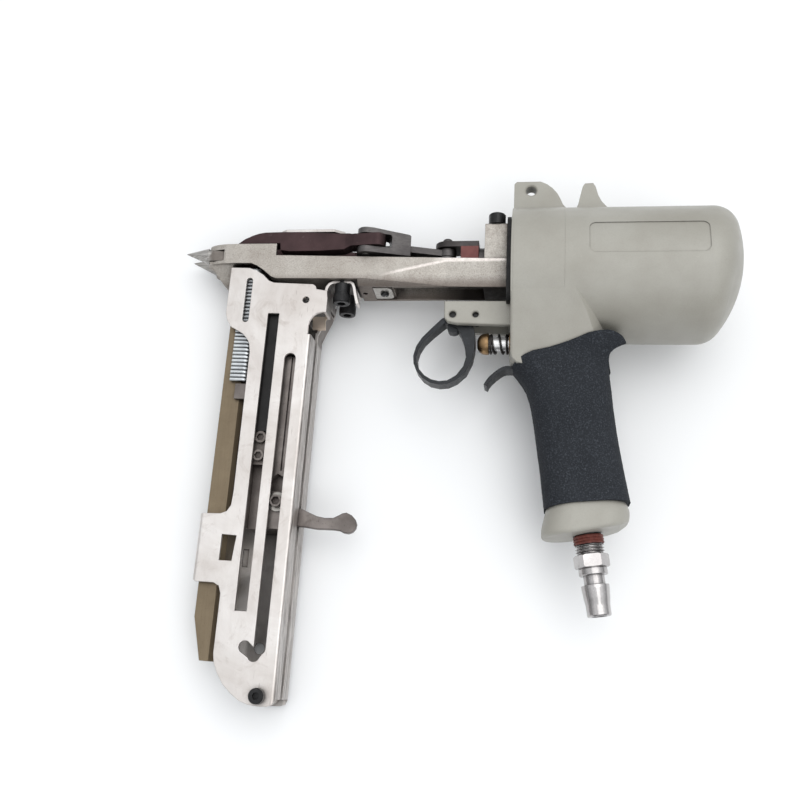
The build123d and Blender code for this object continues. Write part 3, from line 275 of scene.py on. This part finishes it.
# sandblasted steel of the nose frame: pale, grainy, rusty pits
def make_blasted():
    m = Mat("nose_steel", metal=0.72)
    tone = m.noise(30, 5.0, 0.65)
    c = m.mix(m.fit(tone, 0.3, 0.72), lin(198, 194, 187), lin(172, 165, 157))
    sand = m.noise(1700, 4.0, 0.85)
    c = m.mix(m.fit(sand, 0.44, 0.66, 0.0, 0.6), c, lin(118, 107, 99))
    c = m.mix(m.fit(m.noise(2300, 2.0, 0.7), 0.58, 0.7, 0.0, 0.5), c, lin(226, 222, 216))
    pit = m.fit(m.noise(520, 5.0, 0.85), 0.57, 0.70)
    c = m.mix(m.calc("MULTIPLY", pit, 0.6), c, lin(96, 82, 74))
    blot = m.fit(m.noise(48, 6.0, 0.75, distort=1.0), 0.54, 0.76)
    c = m.mix(m.calc("MULTIPLY", blot, 0.32), c, lin(124, 109, 101))
    # darker towards the bottom of the frame: painted shade where it faces down, with some stains
    low = m.fit(m.axis(1), -0.0035, -0.0095, 0.0, 0.72, smooth=True)
    c = m.mix(low, c, lin(96, 84, 77))
    # painted shade in the channel that the levers run in
    floor = m.fit(m.axis(0), -0.0625, -0.0615, -0.0037, 0.0004)
    channel_shade = m.calc("MULTIPLY", m.fit(m.calc("ABSOLUTE", m.axis(2)), 0.01136, 0.01132), m.fit(m.calc("SUBTRACT", m.axis(1), floor), -0.0002, 0.0))
    channel_shade = m.calc("MULTIPLY", channel_shade, m.calc("MULTIPLY", m.fit(m.axis(0), -0.1412, -0.1408), m.fit(m.axis(0), -0.0136, -0.0139)))
    c = m.mix(m.calc("MULTIPLY", channel_shade, 0.86), c, lin(48, 41, 39))
    # slanting ridge of the cheeks, and the strip above it at the rear: painted highlight along the edge, with some
    # rubbed-bright wear
    ridge = m.fit(m.axis(0), -0.0720, -0.0324, -0.0066, 0.0024)
    over = m.calc("SUBTRACT", m.axis(1), ridge)
    outer = m.fit(m.calc("ABSOLUTE", m.axis(2)), 0.0124, 0.0127)
    line = m.calc("MULTIPLY", m.fit(m.calc("ABSOLUTE", over), 0.0010, 0.0003), m.fit(m.axis(0), -0.0660, -0.0540))
    strip = m.calc("MULTIPLY", m.fit(over, -0.0004, 0.0002), m.fit(m.axis(0), -0.0400, -0.0310))
    ridge_highlight_and_wear = m.calc("MULTIPLY", m.calc("MULTIPLY", m.calc("MAXIMUM", line, strip), outer), m.fit(m.noise(700, 3.0, 0.7), 0.3, 0.6, 0.45, 0.9))
    c = m.mix(ridge_highlight_and_wear, c, lin(240, 232, 227))
    # painted shade in the recess under the rear
    recess_shade = m.calc("MULTIPLY", m.fit(m.calc("ABSOLUTE", m.axis(2)), 0.0092, 0.0088), m.fit(m.axis(1), -0.0040, -0.0046))
    c = m.mix(m.calc("MULTIPLY", recess_shade, m.fit(m.axis(0), -0.0420, -0.0240, 0.0, 0.9)), c, lin(26, 23, 22))
    # painted shade in corners and gaps, with some dirt
    c = m.painted_shade_and_grime(c, lin(36, 28, 25), 0.007, 0.9, 0.35, 0.9)
    m.colour(c)
    m.roughness(m.fit(m.noise(300, 3.0, 0.6), 0.3, 0.7, 0.42, 0.6))
    m.relief((m.noise(90, 3.0, 0.6), 0.12, 0.0006), (sand, 0.45, 0.00014), edge=0.0004)
    return m.mat


# jaws: dark tempered lever, bright ground beak in front of the pivot
def make_jaw():
    m = Mat("jaw_steel", metal=0.85)
    wob = m.fit(m.noise(260, 3.0, 0.6), 0.3, 0.7, -0.0012, 0.0012)
    beak = m.fit(m.calc("ADD", m.axis(0), wob), -0.1528, -0.1545)
    tone = m.noise(60, 4.0, 0.6)
    dark = m.mix(m.fit(tone, 0.3, 0.7), lin(80, 62, 63), lin(56, 44, 45))
    rub = m.fit(m.noise(240, 4.0, 0.75), 0.62, 0.75, 0.0, 0.4)
    dark = m.mix(rub, dark, lin(120, 104, 102))
    grind = m.noise(1.0, 2.0, 0.6, m.stretch(60, 1500, 400))
    bright = m.mix(m.fit(grind, 0.35, 0.7), lin(184, 181, 177), lin(116, 112, 108))
    hub = m.mix(m.fit(tone, 0.3, 0.7), lin(146, 140, 134), lin(106, 99, 94))
    dark = m.mix(m.fit(m.axis(0), -0.1418, -0.1426), dark, hub)
    # painted shade in corners and gaps, with some dirt
    m.colour(m.painted_shade_and_grime(m.mix(beak, dark, bright), lin(24, 19, 18), 0.004, 0.9))
    m.roughness(m.calc("ADD", m.fit(m.noise(320, 3.0, 0.6), 0.3, 0.7, 0.34, 0.5), m.fit(beak, 0.0, 1.0, 0.06, -0.06)))
    m.relief((grind, 0.10, 0.00006), (m.noise(900, 2.0, 0.6), 0.12, 0.00008), edge=0.0004)
    return m.mat


# foamed rubber of the grip: fine open grain
def make_grip():
    m = Mat("grip_rubber", rough=0.85)
    m.bsdf.inputs["Specular IOR Level"].default_value = 0.25
    cell = m.cells(1050)
    grain = m.noise(1500, 3.0, 0.7)
    tone = m.noise(35, 4.0, 0.6)
    c = m.mix(m.fit(tone, 0.3, 0.7), lin(42, 45, 50), lin(31, 34, 39))
    c = m.mix(m.fit(grain, 0.5, 0.72, 0.0, 0.6), c, lin(90, 95, 102))
    c = m.mix(m.fit(cell, 0.0, 0.35, 0.55, 0.0), c, lin(16, 17, 21))
    m.colour(c)
    m.roughness(m.fit(grain, 0.3, 0.7, 0.72, 0.95))
    m.relief((grain, 0.6, 0.0003), (cell, 0.5, 0.0003))
    return m.mat


# straw-coloured rail with drawing lines along its length
def make_rail():
    m = Mat("rail_steel", metal=0.7)
    g = m.noise(1.0, 3.0, 0.6, m.stretch(1500, 60, 1500))
    tone = m.noise(40, 5.0, 0.65)
    c = m.mix(m.fit(tone, 0.3, 0.7), lin(132, 118, 97), lin(113, 100, 81))
    c = m.mix(m.fit(g, 0.4, 0.75, 0.0, 0.16), c, lin(96, 84, 68))
    c = m.mix(m.fit(m.noise(900, 3.0, 0.75), 0.58, 0.72, 0.0, 0.35), c, lin(90, 78, 62))
    # painted shade in corners and gaps, with some dirt
    c = m.painted_shade_and_grime(c, lin(40, 30, 22), 0.004, 0.85)
    m.colour(c)
    m.roughness(m.fit(g, 0.3, 0.7, 0.3, 0.48))
    m.relief((g, 0.12, 0.00006), edge=0.0003)
    return m.mat


# plated sheet of the magazine: long faint brushing, handling smears
def make_sheet():
    m = Mat("sheet_steel", metal=0.86)
    g = m.noise(1.0, 3.0, 0.6, m.stretch(420, 60, 420))
    tone = m.noise(26, 6.0, 0.66, distort=0.8)
    c = m.mix(m.fit(tone, 0.32, 0.72), lin(226, 222, 219), lin(196, 189, 184))
    c = m.mix(m.fit(g, 0.45, 0.8, 0.0, 0.16), c, lin(178, 170, 164))
    smear = m.fit(m.noise(70, 6.0, 0.72, distort=1.4), 0.55, 0.76, 0.0, 0.55)
    c = m.mix(smear, c, lin(160, 148, 139))
    scuff = m.fit(m.noise(1.0, 2.0, 0.7, m.stretch(900, 90, 900, (0, 0, 0.4))), 0.68, 0.74, 0.0, 0.35)
    c = m.mix(scuff, c, lin(128, 118, 112))
    s_pos = m.calc("SUBTRACT", m.calc("MULTIPLY", m.calc("ADD", m.axis(0), 0.120), math.cos(LEAN)), m.calc("MULTIPLY", m.axis(1), math.sin(LEAN)))
    # painted shade on the rear flange, streaked
    rear = m.calc("MULTIPLY", m.fit(s_pos, 0.0219, 0.0226), m.fit(m.axis(1), -0.0345, -0.0365))
    c = m.mix(m.calc("MULTIPLY", rear, m.fit(m.noise(1.0, 4.0, 0.75, m.stretch(900, 55, 900)), 0.42, 0.68, 0.15, 0.95)), c, lin(104, 97, 93))
    # painted shade in corners and gaps, with some dirt
    c = m.painted_shade_and_grime(c, lin(40, 33, 30), 0.004, 0.9, 0.3, 0.8)
    # painted shade deep inside the magazine and behind its slots
    c = m.mix(m.calc("MULTIPLY", m.crevice(0.03, 0.06, 0.46), 0.9), c, lin(52, 48, 46))
    # painted shade on the inner faces behind the second slot
    inner = m.calc("MULTIPLY", m.fit(m.calc("ABSOLUTE", m.axis(2)), 0.01165, 0.01155), m.calc("MULTIPLY", m.fit(s_pos, 0.0, 0.0015), m.fit(s_pos, 0.0215, 0.0205)))
    inner = m.calc("MULTIPLY", inner, m.calc("MULTIPLY", m.fit(m.axis(1), -0.030, -0.034), m.fit(m.axis(1), -0.192, -0.168, 0.4, 0.8)))
    c = m.mix(inner, c, lin(58, 54, 52))
    # painted shade on the faces inside the notch at the rear flange
    nook = m.calc("MULTIPLY", m.calc("MULTIPLY", m.fit(s_pos, 0.0188, 0.0192), m.fit(m.axis(1), -0.0370, -0.0355)), m.calc("MULTIPLY", m.fit(m.axis(1), -0.0192, -0.0196), m.fit(m.axis(2), -0.0128, -0.0127)))
    c = m.mix(m.calc("MULTIPLY", m.calc("MULTIPLY", nook, m.fit(m.axis(2), -0.0027, -0.0029)), 0.75), c, lin(74, 60, 51))
    # painted light: the small lug in the notch made pale tan though it sits in shade
    lug = m.calc("MULTIPLY", m.calc("MULTIPLY", nook, m.fit(m.axis(1), -0.0292, -0.0290)), m.calc("MULTIPLY", m.fit(m.axis(2), -0.0029, -0.0027), m.fit(m.axis(2), -0.0007, -0.0009)))
    c = m.mix(m.calc("MULTIPLY", lug, 0.9), c, lin(228, 210, 192))
    m.colour(c)
    m.roughness(m.calc("ADD", m.fit(m.noise(160, 4.0, 0.65), 0.3, 0.7, 0.26, 0.4), m.fit(tone, 0.3, 0.7, 0.0, 0.12)))
    m.relief((g, 0.05, 0.00005), (m.noise(38, 3.0, 0.55), 0.10, 0.0007), (m.noise(1200, 2.0, 0.6), 0.08, 0.00006), edge=0.0004)
    return m.mat


# rod clevis: dark prongs in front, red-brown web behind
def make_clevis():
    m = Mat("clevis_steel", metal=0.8)
    tone = m.noise(90, 4.0, 0.6)
    prong = m.mix(m.fit(tone, 0.3, 0.7), lin(78, 74, 74), lin(54, 51, 51))
    web = m.mix(m.fit(tone, 0.3, 0.7), lin(122, 78, 75), lin(88, 56, 55))
    wob = m.fit(m.noise(300, 3.0, 0.6), 0.3, 0.7, -0.0005, 0.0005)
    c = m.mix(m.calc("MULTIPLY", m.fit(m.calc("ADD", m.axis(0), wob), -0.0262, -0.0256), m.fit(m.axis(1), 0.0135, 0.0131)), prong, web)
    c = m.mix(m.fit(m.noise(900, 2.0, 0.7), 0.62, 0.72, 0.0, 0.5), c, lin(46, 39, 38))
    # painted shade in corners and gaps, with some dirt
    m.colour(m.painted_shade_and_grime(c, lin(26, 20, 19), 0.005, 0.85))
    m.roughness(m.fit(m.noise(320, 3.0, 0.6), 0.3, 0.7, 0.34, 0.5))
    m.relief((m.noise(1100, 2.0, 0.6), 0.14, 0.00007), edge=0.0004)
    return m.mat


# turned stem of the trigger valve, kept bright by its seal
def make_stem():
    m = Mat("stem_bright", metal=0.55)
    g = m.noise(1.0, 2.0, 0.6, m.stretch(1500, 40, 40))
    m.colour(m.mix(m.fit(g, 0.35, 0.75), lin(240, 240, 240), lin(212, 211, 210)))
    m.roughness(m.fit(m.noise(400, 3.0, 0.6), 0.3, 0.7, 0.22, 0.36))
    m.relief((g, 0.06, 0.00004), edge=0.0002)
    return m.mat


def make_black(name, light, dark, rough, edge=0.00025, rub=None):
    m = Mat(name, metal=0.55)
    tone = m.noise(120, 4.0, 0.6)
    c = m.mix(m.fit(tone, 0.3, 0.7), light, dark)
    w = m.fit(m.noise(380, 4.0, 0.75), 0.63, 0.74, 0.0, 0.55)
    c = m.mix(w, c, rub or lin(96, 97, 100))
    m.colour(c)
    m.roughness(m.fit(m.noise(500, 3.0, 0.6), 0.3, 0.7, rough[0], rough[1]))
    m.relief((m.noise(1500, 2.0, 0.6), 0.15, 0.00007), edge=edge)
    return m.mat


def make_rubber(name):
    m = Mat(name, rough=0.6)
    c = m.mix(m.fit(m.noise(300, 3.0, 0.6), 0.3, 0.7), lin(19, 19, 20), lin(10, 10, 11))
    m.colour(c)
    m.roughness(m.fit(m.noise(700, 2.0, 0.6), 0.3, 0.7, 0.5, 0.7))
    m.relief((m.noise(1400, 2.0, 0.6), 0.2, 0.00008), edge=0.0003)
    return m.mat


def make_sealant():
    m = Mat("sealant", rough=0.55)
    g = m.noise(700, 4.0, 0.7)
    m.colour(m.mix(m.fit(g, 0.3, 0.7), lin(118, 54, 42), lin(78, 34, 28)))
    m.roughness(m.fit(g, 0.3, 0.7, 0.4, 0.75))
    m.relief((g, 0.5, 0.0003))
    return m.mat


MATS = {
    "body_paint": make_paint(),
    "nose_steel": make_blasted(),
    "jaw_steel": make_jaw(),
    "grip_rubber": make_grip(),
    "rail_steel": make_rail(),
    "sheet_steel": make_sheet(),
    "seal_rubber": make_rubber("seal_rubber"),
    "sealant": make_sealant(),
    "link_steel": steel("link_steel", lin(108, 105, 104), lin(76, 73, 73), rough=(0.36, 0.52), grain="x", specks=lin(66, 60, 58)),
    "clevis_steel": make_clevis(),
    "bright_steel": steel("bright_steel", lin(206, 203, 198), lin(160, 156, 150), rough=(0.22, 0.36), grain="x"),
    "black_screw": make_black("black_screw", lin(40, 40, 41), lin(25, 25, 26), (0.24, 0.4)),
    "trigger_black": make_black("trigger_black", lin(44, 46, 49), lin(30, 32, 34), (0.34, 0.5), rub=lin(84, 86, 89)),
    "feed_strip": make_black("feed_strip", lin(34, 33, 33), lin(20, 19, 19), (0.3, 0.46), rub=lin(64, 62, 60)),
    "ring_wire": steel("ring_wire", lin(226, 230, 232), lin(196, 200, 203), rough=(0.26, 0.4), patch=160),
    "plug_steel": steel("plug_steel", lin(200, 198, 197), lin(166, 162, 162), rough=(0.14, 0.28), stain=lin(104, 94, 92), grain="z", bump=0.05),
    "bronze": steel("bronze", lin(150, 122, 88), lin(96, 74, 52), rough=(0.24, 0.4), specks=lin(58, 44, 32)),
    "brass": steel("brass", lin(150, 124, 84), lin(104, 82, 54), rough=(0.24, 0.38), grain="x"),
    "alloy": steel("alloy", lin(205, 205, 207), lin(176, 176, 179), rough=(0.26, 0.4), grain="y"),
    "spring_steel": steel("spring_steel", lin(72, 69, 67), lin(46, 44, 43), rough=(0.24, 0.38)),
    "handle_steel": steel("handle_steel", lin(142, 135, 131), lin(98, 92, 89), rough=(0.36, 0.54), specks=lin(60, 54, 51), stain=lin(70, 63, 59)),
}

record = frame["record"]
slot_of = {s["node"]: s["material_slot"] for s in record["subparts"]}
for name, obj in nodes.items():
    obj.data.materials.clear()
    obj.data.materials.append(MATS[slot_of[name]])
nodes["piston_rod"].data.materials.clear()
nodes["piston_rod"].data.materials.append(MATS["link_steel"])
nodes["pusher_screws"].data.materials.clear()
nodes["pusher_screws"].data.materials.append(MATS["handle_steel"])
nodes["underside_tab"].data.materials.clear()
nodes["underside_tab"].data.materials.append(MATS["bright_steel"])
stem_bright = make_stem()
nodes["valve_stem"].data.materials.clear()
nodes["valve_stem"].data.materials.append(stem_bright)


# ---------------------------------------------------------------- mesh pieces
def new_piece(name, mesh, body, slot, replaces=()):
    obj = bpy.data.objects.new(name, mesh)
    bpy.context.scene.collection.objects.link(obj)
    mesh.materials.clear()
    mesh.materials.append(MATS[slot])
    for p in mesh.polygons:
        p.use_smooth = True
    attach(obj, body)
    if replaces:
        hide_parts(*replaces)
    return obj


def swept(name, path, section, closed_ends=True):
    """mesh tube: path is a list of (point, first axis, second axis), section a list of (u, v)"""
    bm = bmesh.new()
    rings = []
    for p, a, b in path:
        rings.append([bm.verts.new(p + a * u + b * v) for u, v in section])
    n = len(section)
    for r0, r1 in zip(rings, rings[1:]):
        for i in range(n):
            bm.faces.new((r0[i], r0[(i + 1) % n], r1[(i + 1) % n], r1[i]))
    if closed_ends:
        bm.faces.new(rings[0][::-1])
        bm.faces.new(rings[-1])
    bmesh.ops.recalc_face_normals(bm, faces=bm.faces)
    me = bpy.data.meshes.new(name)
    bm.to_mesh(me)
    bm.free()
    return me


def coil_path(centre, axis, radius, wire, turns, length, dead=1.0, steps=36):
    """compression spring line with closed, ground end turns"""
    axis = axis.normalized()
    a = axis.orthogonal().normalized()
    b = axis.cross(a)
    total = turns + 2 * dead
    rise = length - wire
    pts = []
    n = int(total * steps)
    for i in range(n + 1):
        q = i / steps
        if q < dead:
            h = wire * q / dead * 0.5
        elif q > total - dead:
            h = rise - wire * (total - q) / dead * 0.5
        else:
            h = wire * 0.5 + (rise - wire) * (q - dead) / turns
        ang = 2 * math.pi * q
        radial = a * math.cos(ang) + b * math.sin(ang)
        pts.append((centre + axis * (wire / 2 + h) + radial * radius, radial, axis))
    return pts


def spring_piece(name, start, axis, radius, wire, turns, length, node):
    sec = [(wire / 2 * math.cos(k * math.pi / 5), wire / 2 * math.sin(k * math.pi / 5)) for k in range(10)]
    me = swept(name, coil_path(start, axis, radius, wire, turns, length), sec)
    obj = new_piece(name, me, "housing", "spring_steel", (node,))
    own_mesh(obj)
    return obj


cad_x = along(1, 0, 0)
spring_piece("piston_return_coil", at(1.6, 8.6, 0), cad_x, 0.0105, 0.0020, 5.5, 0.0408, "return_spring")
spring_piece("trigger_valve_coil", at(-10.75, -36.8, 0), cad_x, 0.0046, 0.00115, 1.9, 0.0097, "valve_spring")


# rolled feed strip: a spiral roll, and a tongue that pays out as the pusher is pulled back
def feed_strip():
    t0, h0, r_out, thick = 17.6, 4.2, 5.6, 0.35
    width = (-1.0, 7.2)
    line = []
    turns, r_in = 5.0, 3.3
    n = 150
    for i in range(n + 1):
        k = i / n
        ang = math.pi / 2 - 2 * math.pi * turns * (1 - k)
        r = r_in + (r_out - thick / 2 - r_in) * k
        line.append((t0 + r * math.cos(ang), h0 + r * math.sin(ang), ang))
    bm = bmesh.new()
    rows = []

    def row(t, h, nt, nh):
        rows.append([bm.verts.new(mag(s, t + nt * o, h + nh * o)) for s, o in
                     ((width[0], -thick / 2), (width[1], -thick / 2), (width[1], thick / 2), (width[0], thick / 2))])

    for t, h, ang in line:
        row(t, h, math.cos(ang), math.sin(ang))
    for i in range(1, 41):
        row(t0 + (85.1 - t0) * i / 40, h0 + r_out - thick / 2, 0, 1)
    for r0, r1 in zip(rows, rows[1:]):
        for i in range(4):
            bm.faces.new((r0[i], r0[(i + 1) % 4], r1[(i + 1) % 4], r1[i]))
    bm.faces.new(rows[0][::-1])
    bm.faces.new(rows[-1])
    bmesh.ops.recalc_face_normals(bm, faces=bm.faces)
    me = bpy.data.meshes.new("feed_strip")
    bm.to_mesh(me)
    bm.free()
    obj = bpy.data.objects.new("feed_strip", me)
    bpy.context.scene.collection.objects.link(obj)
    me.materials.append(MATS["feed_strip"])
    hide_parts("feed_spring")
    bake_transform(obj)
    return obj


feed_strip()


# grip sleeve: the moulded sleeve again, with its open grain as real relief
def grip_piece():
    src = nodes["grip_sleeve"]
    me = src.data.copy()
    me.name = "grip_foam"
    bm = bmesh.new()
    bm.from_mesh(me)
    bmesh.ops.remove_doubles(bm, verts=bm.verts, dist=1e-6)
    bm.to_mesh(me)
    bm.free()
    obj = bpy.data.objects.new("grip_foam", me)
    bpy.context.scene.collection.objects.link(obj)
    limit = 0.0008
    bm = bmesh.new()
    bm.from_mesh(me)
    bmesh.ops.triangulate(bm, faces=bm.faces)
    for e in bm.edges:
        if len(e.link_faces) == 2 and e.calc_face_angle(0.0) > 0.6:
            e.smooth = False
    for _ in range(9):
        long = [e for e in bm.edges if e.calc_length() > limit]
        if not long:
            break
        bmesh.ops.subdivide_edges(bm, edges=long, cuts=1)
        bmesh.ops.triangulate(bm, faces=[f for f in bm.faces if len(f.verts) > 3])
    bm.normal_update()
    for v in bm.verts:
        if any(not e.smooth for e in v.link_edges):
            continue
        p = v.co * 1000
        g = noise.noise(p * 0.75) * 0.5 + noise.noise(p * 1.6 + Vector((7, 3, 1))) * 0.35
        w = noise.noise(p * 0.11 + Vector((3, 8, 5)))
        v.co += v.normal * (g * 0.00016 + w * 0.00010 - 0.00008)
    bm.to_mesh(me)
    bm.free()
    me.materials.clear()
    me.materials.append(MATS["grip_rubber"])
    for p in me.polygons:
        p.use_smooth = True
    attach(obj, "housing")
    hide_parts("grip_sleeve")
    return obj


grip_piece()


# knurled bands round the socket heads
def knurl(name, seat, d, radius, height, body, teeth=40):
    d = d.normalized()
    a = d.orthogonal().normalized()
    b = d.cross(a)
    bm = bmesh.new()
    lo, hi = height * 0.12, height * 0.84
    rows = []
    n = teeth * 4
    for h, k in ((lo, 0.0), (lo + height * 0.07, 1.0), (hi - height * 0.05, 1.0), (hi, 0.0)):
        ring = []
        for i in range(n):
            ang = 2 * math.pi * i / n
            ph = (i % 4) / 4
            tooth = (0.0, 0.75, 1.0, 0.75)[i % 4]
            r = radius - 0.00008 + k * tooth * 0.00015
            ring.append(bm.verts.new(seat + d * h + (a * math.cos(ang) + b * math.sin(ang)) * r))
        rows.append(ring)
    inner = [[bm.verts.new(seat + d * h + (a * math.cos(2 * math.pi * i / n) + b * math.sin(2 * math.pi * i / n)) * (radius - 0.0004)) for i in range(n)] for h in (hi, lo)]
    rows += inner
    rows.append(rows[0])
    for r0, r1 in zip(rows, rows[1:]):
        for i in range(n):
            j = (i + 1) % n
            bm.faces.new((r0[i], r0[j], r1[j], r1[i]))
    bmesh.ops.recalc_face_normals(bm, faces=bm.faces)
    me = bpy.data.meshes.new(name)
    bm.to_mesh(me)
    bm.free()
    obj = new_piece(name, me, body, "black_screw")
    for p in me.polygons:
        p.use_smooth = False
    return obj


for s in (1, -1):
    knurl("bracket_screw_knurl_%s" % ("a" if s > 0 else "b"), at(-84.5, -13.6, s * 8.0), along(0, -1, 0), 0.00425, 0.005, "housing")
end_p = Vector((-120.0, 0, 13.05)) + MAG_S * 15.4 + MAG_T * 207.6
knurl("end_screw_knurl", at(end_p.x, end_p.y, end_p.z), along(0, 0, 1), 0.0035, 0.004, "housing", teeth=34)

# ---------------------------------------------------------------- table and light
bm = bmesh.new()
bmesh.ops.create_grid(bm, x_segments=8, y_segments=8, size=20.0)
me = bpy.data.meshes.new("table")
bm.to_mesh(me)
bm.free()
table = bpy.data.objects.new("table", me)
bpy.context.scene.collection.objects.link(table)
tm = Mat("table_white", rough=0.6)
tm.bsdf.inputs["Specular IOR Level"].default_value = 0.2
tm.colour(tm.mix(tm.fit(tm.noise(6, 3.0, 0.5), 0.3, 0.7), (0.93, 0.935, 0.94, 1), (0.91, 0.917, 0.925, 1)))
me.materials.append(tm.mat)

world = bpy.data.worlds.new("studio")
bpy.context.scene.world = world
world.use_nodes = True
wt = world.node_tree
wt.nodes.clear()
wo = wt.nodes.new("ShaderNodeOutputWorld")
bg = wt.nodes.new("ShaderNodeBackground")
bg.inputs["Color"].default_value = (0.97, 0.985, 1.0, 1)
# the room: bright overhead, dim towards the horizon, with soft uneven patches
tcw = wt.nodes.new("ShaderNodeTexCoord")
sep = wt.nodes.new("ShaderNodeSeparateXYZ")
wt.links.new(tcw.outputs["Generated"], sep.inputs[0])
rise = wt.nodes.new("ShaderNodeMapRange")
rise.interpolation_type = "SMOOTHSTEP"
rise.inputs["From Min"].default_value = 0.05
rise.inputs["From Max"].default_value = 0.75
rise.inputs["To Min"].default_value = 0.30
rise.inputs["To Max"].default_value = 1.06
wt.links.new(sep.outputs["Z"], rise.inputs["Value"])
patch = wt.nodes.new("ShaderNodeTexNoise")
patch.inputs["Scale"].default_value = 3.2
patch.inputs["Detail"].default_value = 2.0
wt.links.new(tcw.outputs["Generated"], patch.inputs["Vector"])
uneven = wt.nodes.new("ShaderNodeMapRange")
uneven.inputs["From Min"].default_value = 0.3
uneven.inputs["From Max"].default_value = 0.7
uneven.inputs["To Min"].default_value = 0.72
uneven.inputs["To Max"].default_value = 1.22
wt.links.new(patch.outputs["Fac"], uneven.inputs["Value"])
side = wt.nodes.new("ShaderNodeMapRange")
side.interpolation_type = "SMOOTHSTEP"
side.inputs["From Min"].default_value = -0.75
side.inputs["From Max"].default_value = 0.25
side.inputs["To Min"].default_value = 0.6
side.inputs["To Max"].default_value = 1.08
wt.links.new(sep.outputs["Y"], side.inputs["Value"])
level = wt.nodes.new("ShaderNodeMath")
level.operation = "MULTIPLY"
wt.links.new(rise.outputs[0], level.inputs[0])
wt.links.new(uneven.outputs[0], level.inputs[1])
both = wt.nodes.new("ShaderNodeMath")
both.operation = "MULTIPLY"
wt.links.new(level.outputs[0], both.inputs[0])
wt.links.new(side.outputs[0], both.inputs[1])
wt.links.new(both.outputs[0], bg.inputs["Strength"])
wt.links.new(bg.outputs[0], wo.inputs[0])


def softbox(name, loc, target, size, power, colour=(1, 1, 1)):
    li = bpy.data.lights.new(name, "AREA")
    li.shape = "RECTANGLE"
    li.size, li.size_y = size
    li.energy = power
    li.color = colour
    ob = bpy.data.objects.new(name, li)
    bpy.context.scene.collection.objects.link(ob)
    ob.location = loc
    ob.rotation_euler = (Vector(target) - Vector(loc)).to_track_quat("-Z", "Y").to_euler()
    return ob


softbox("key", (0.2, 0.25, 1.45), (0, 0, 0), (1.2, 1.2), 6.0, (1.0, 0.99, 0.97))
softbox("fill", (0.3, -0.85, 1.3), (0.05, 0, 0), (1.2, 0.8), 5.5, (0.97, 0.985, 1.0))

# ---------------------------------------------------------------- camera
cam = bpy.data.cameras.new("camera")
cam.lens = 45.0
cam.sensor_width = 36.0
cam.clip_start = 0.01
camera = bpy.data.objects.new("camera", cam)
bpy.context.scene.collection.objects.link(camera)
camera.matrix_world = LIE @ Matrix((
    (0.98979415, -0.01209322, 0.14199049, 0.01592668),
    (0.05157497, 0.95924679, -0.27782300, -0.20177325),
    (-0.13284415, 0.28231073, 0.95008057, 0.46488827),
    (0, 0, 0, 1)))
bpy.context.scene.camera = camera
bpy.context.scene.view_settings.view_transform = "Standard"

bpy.context.view_layer.update()
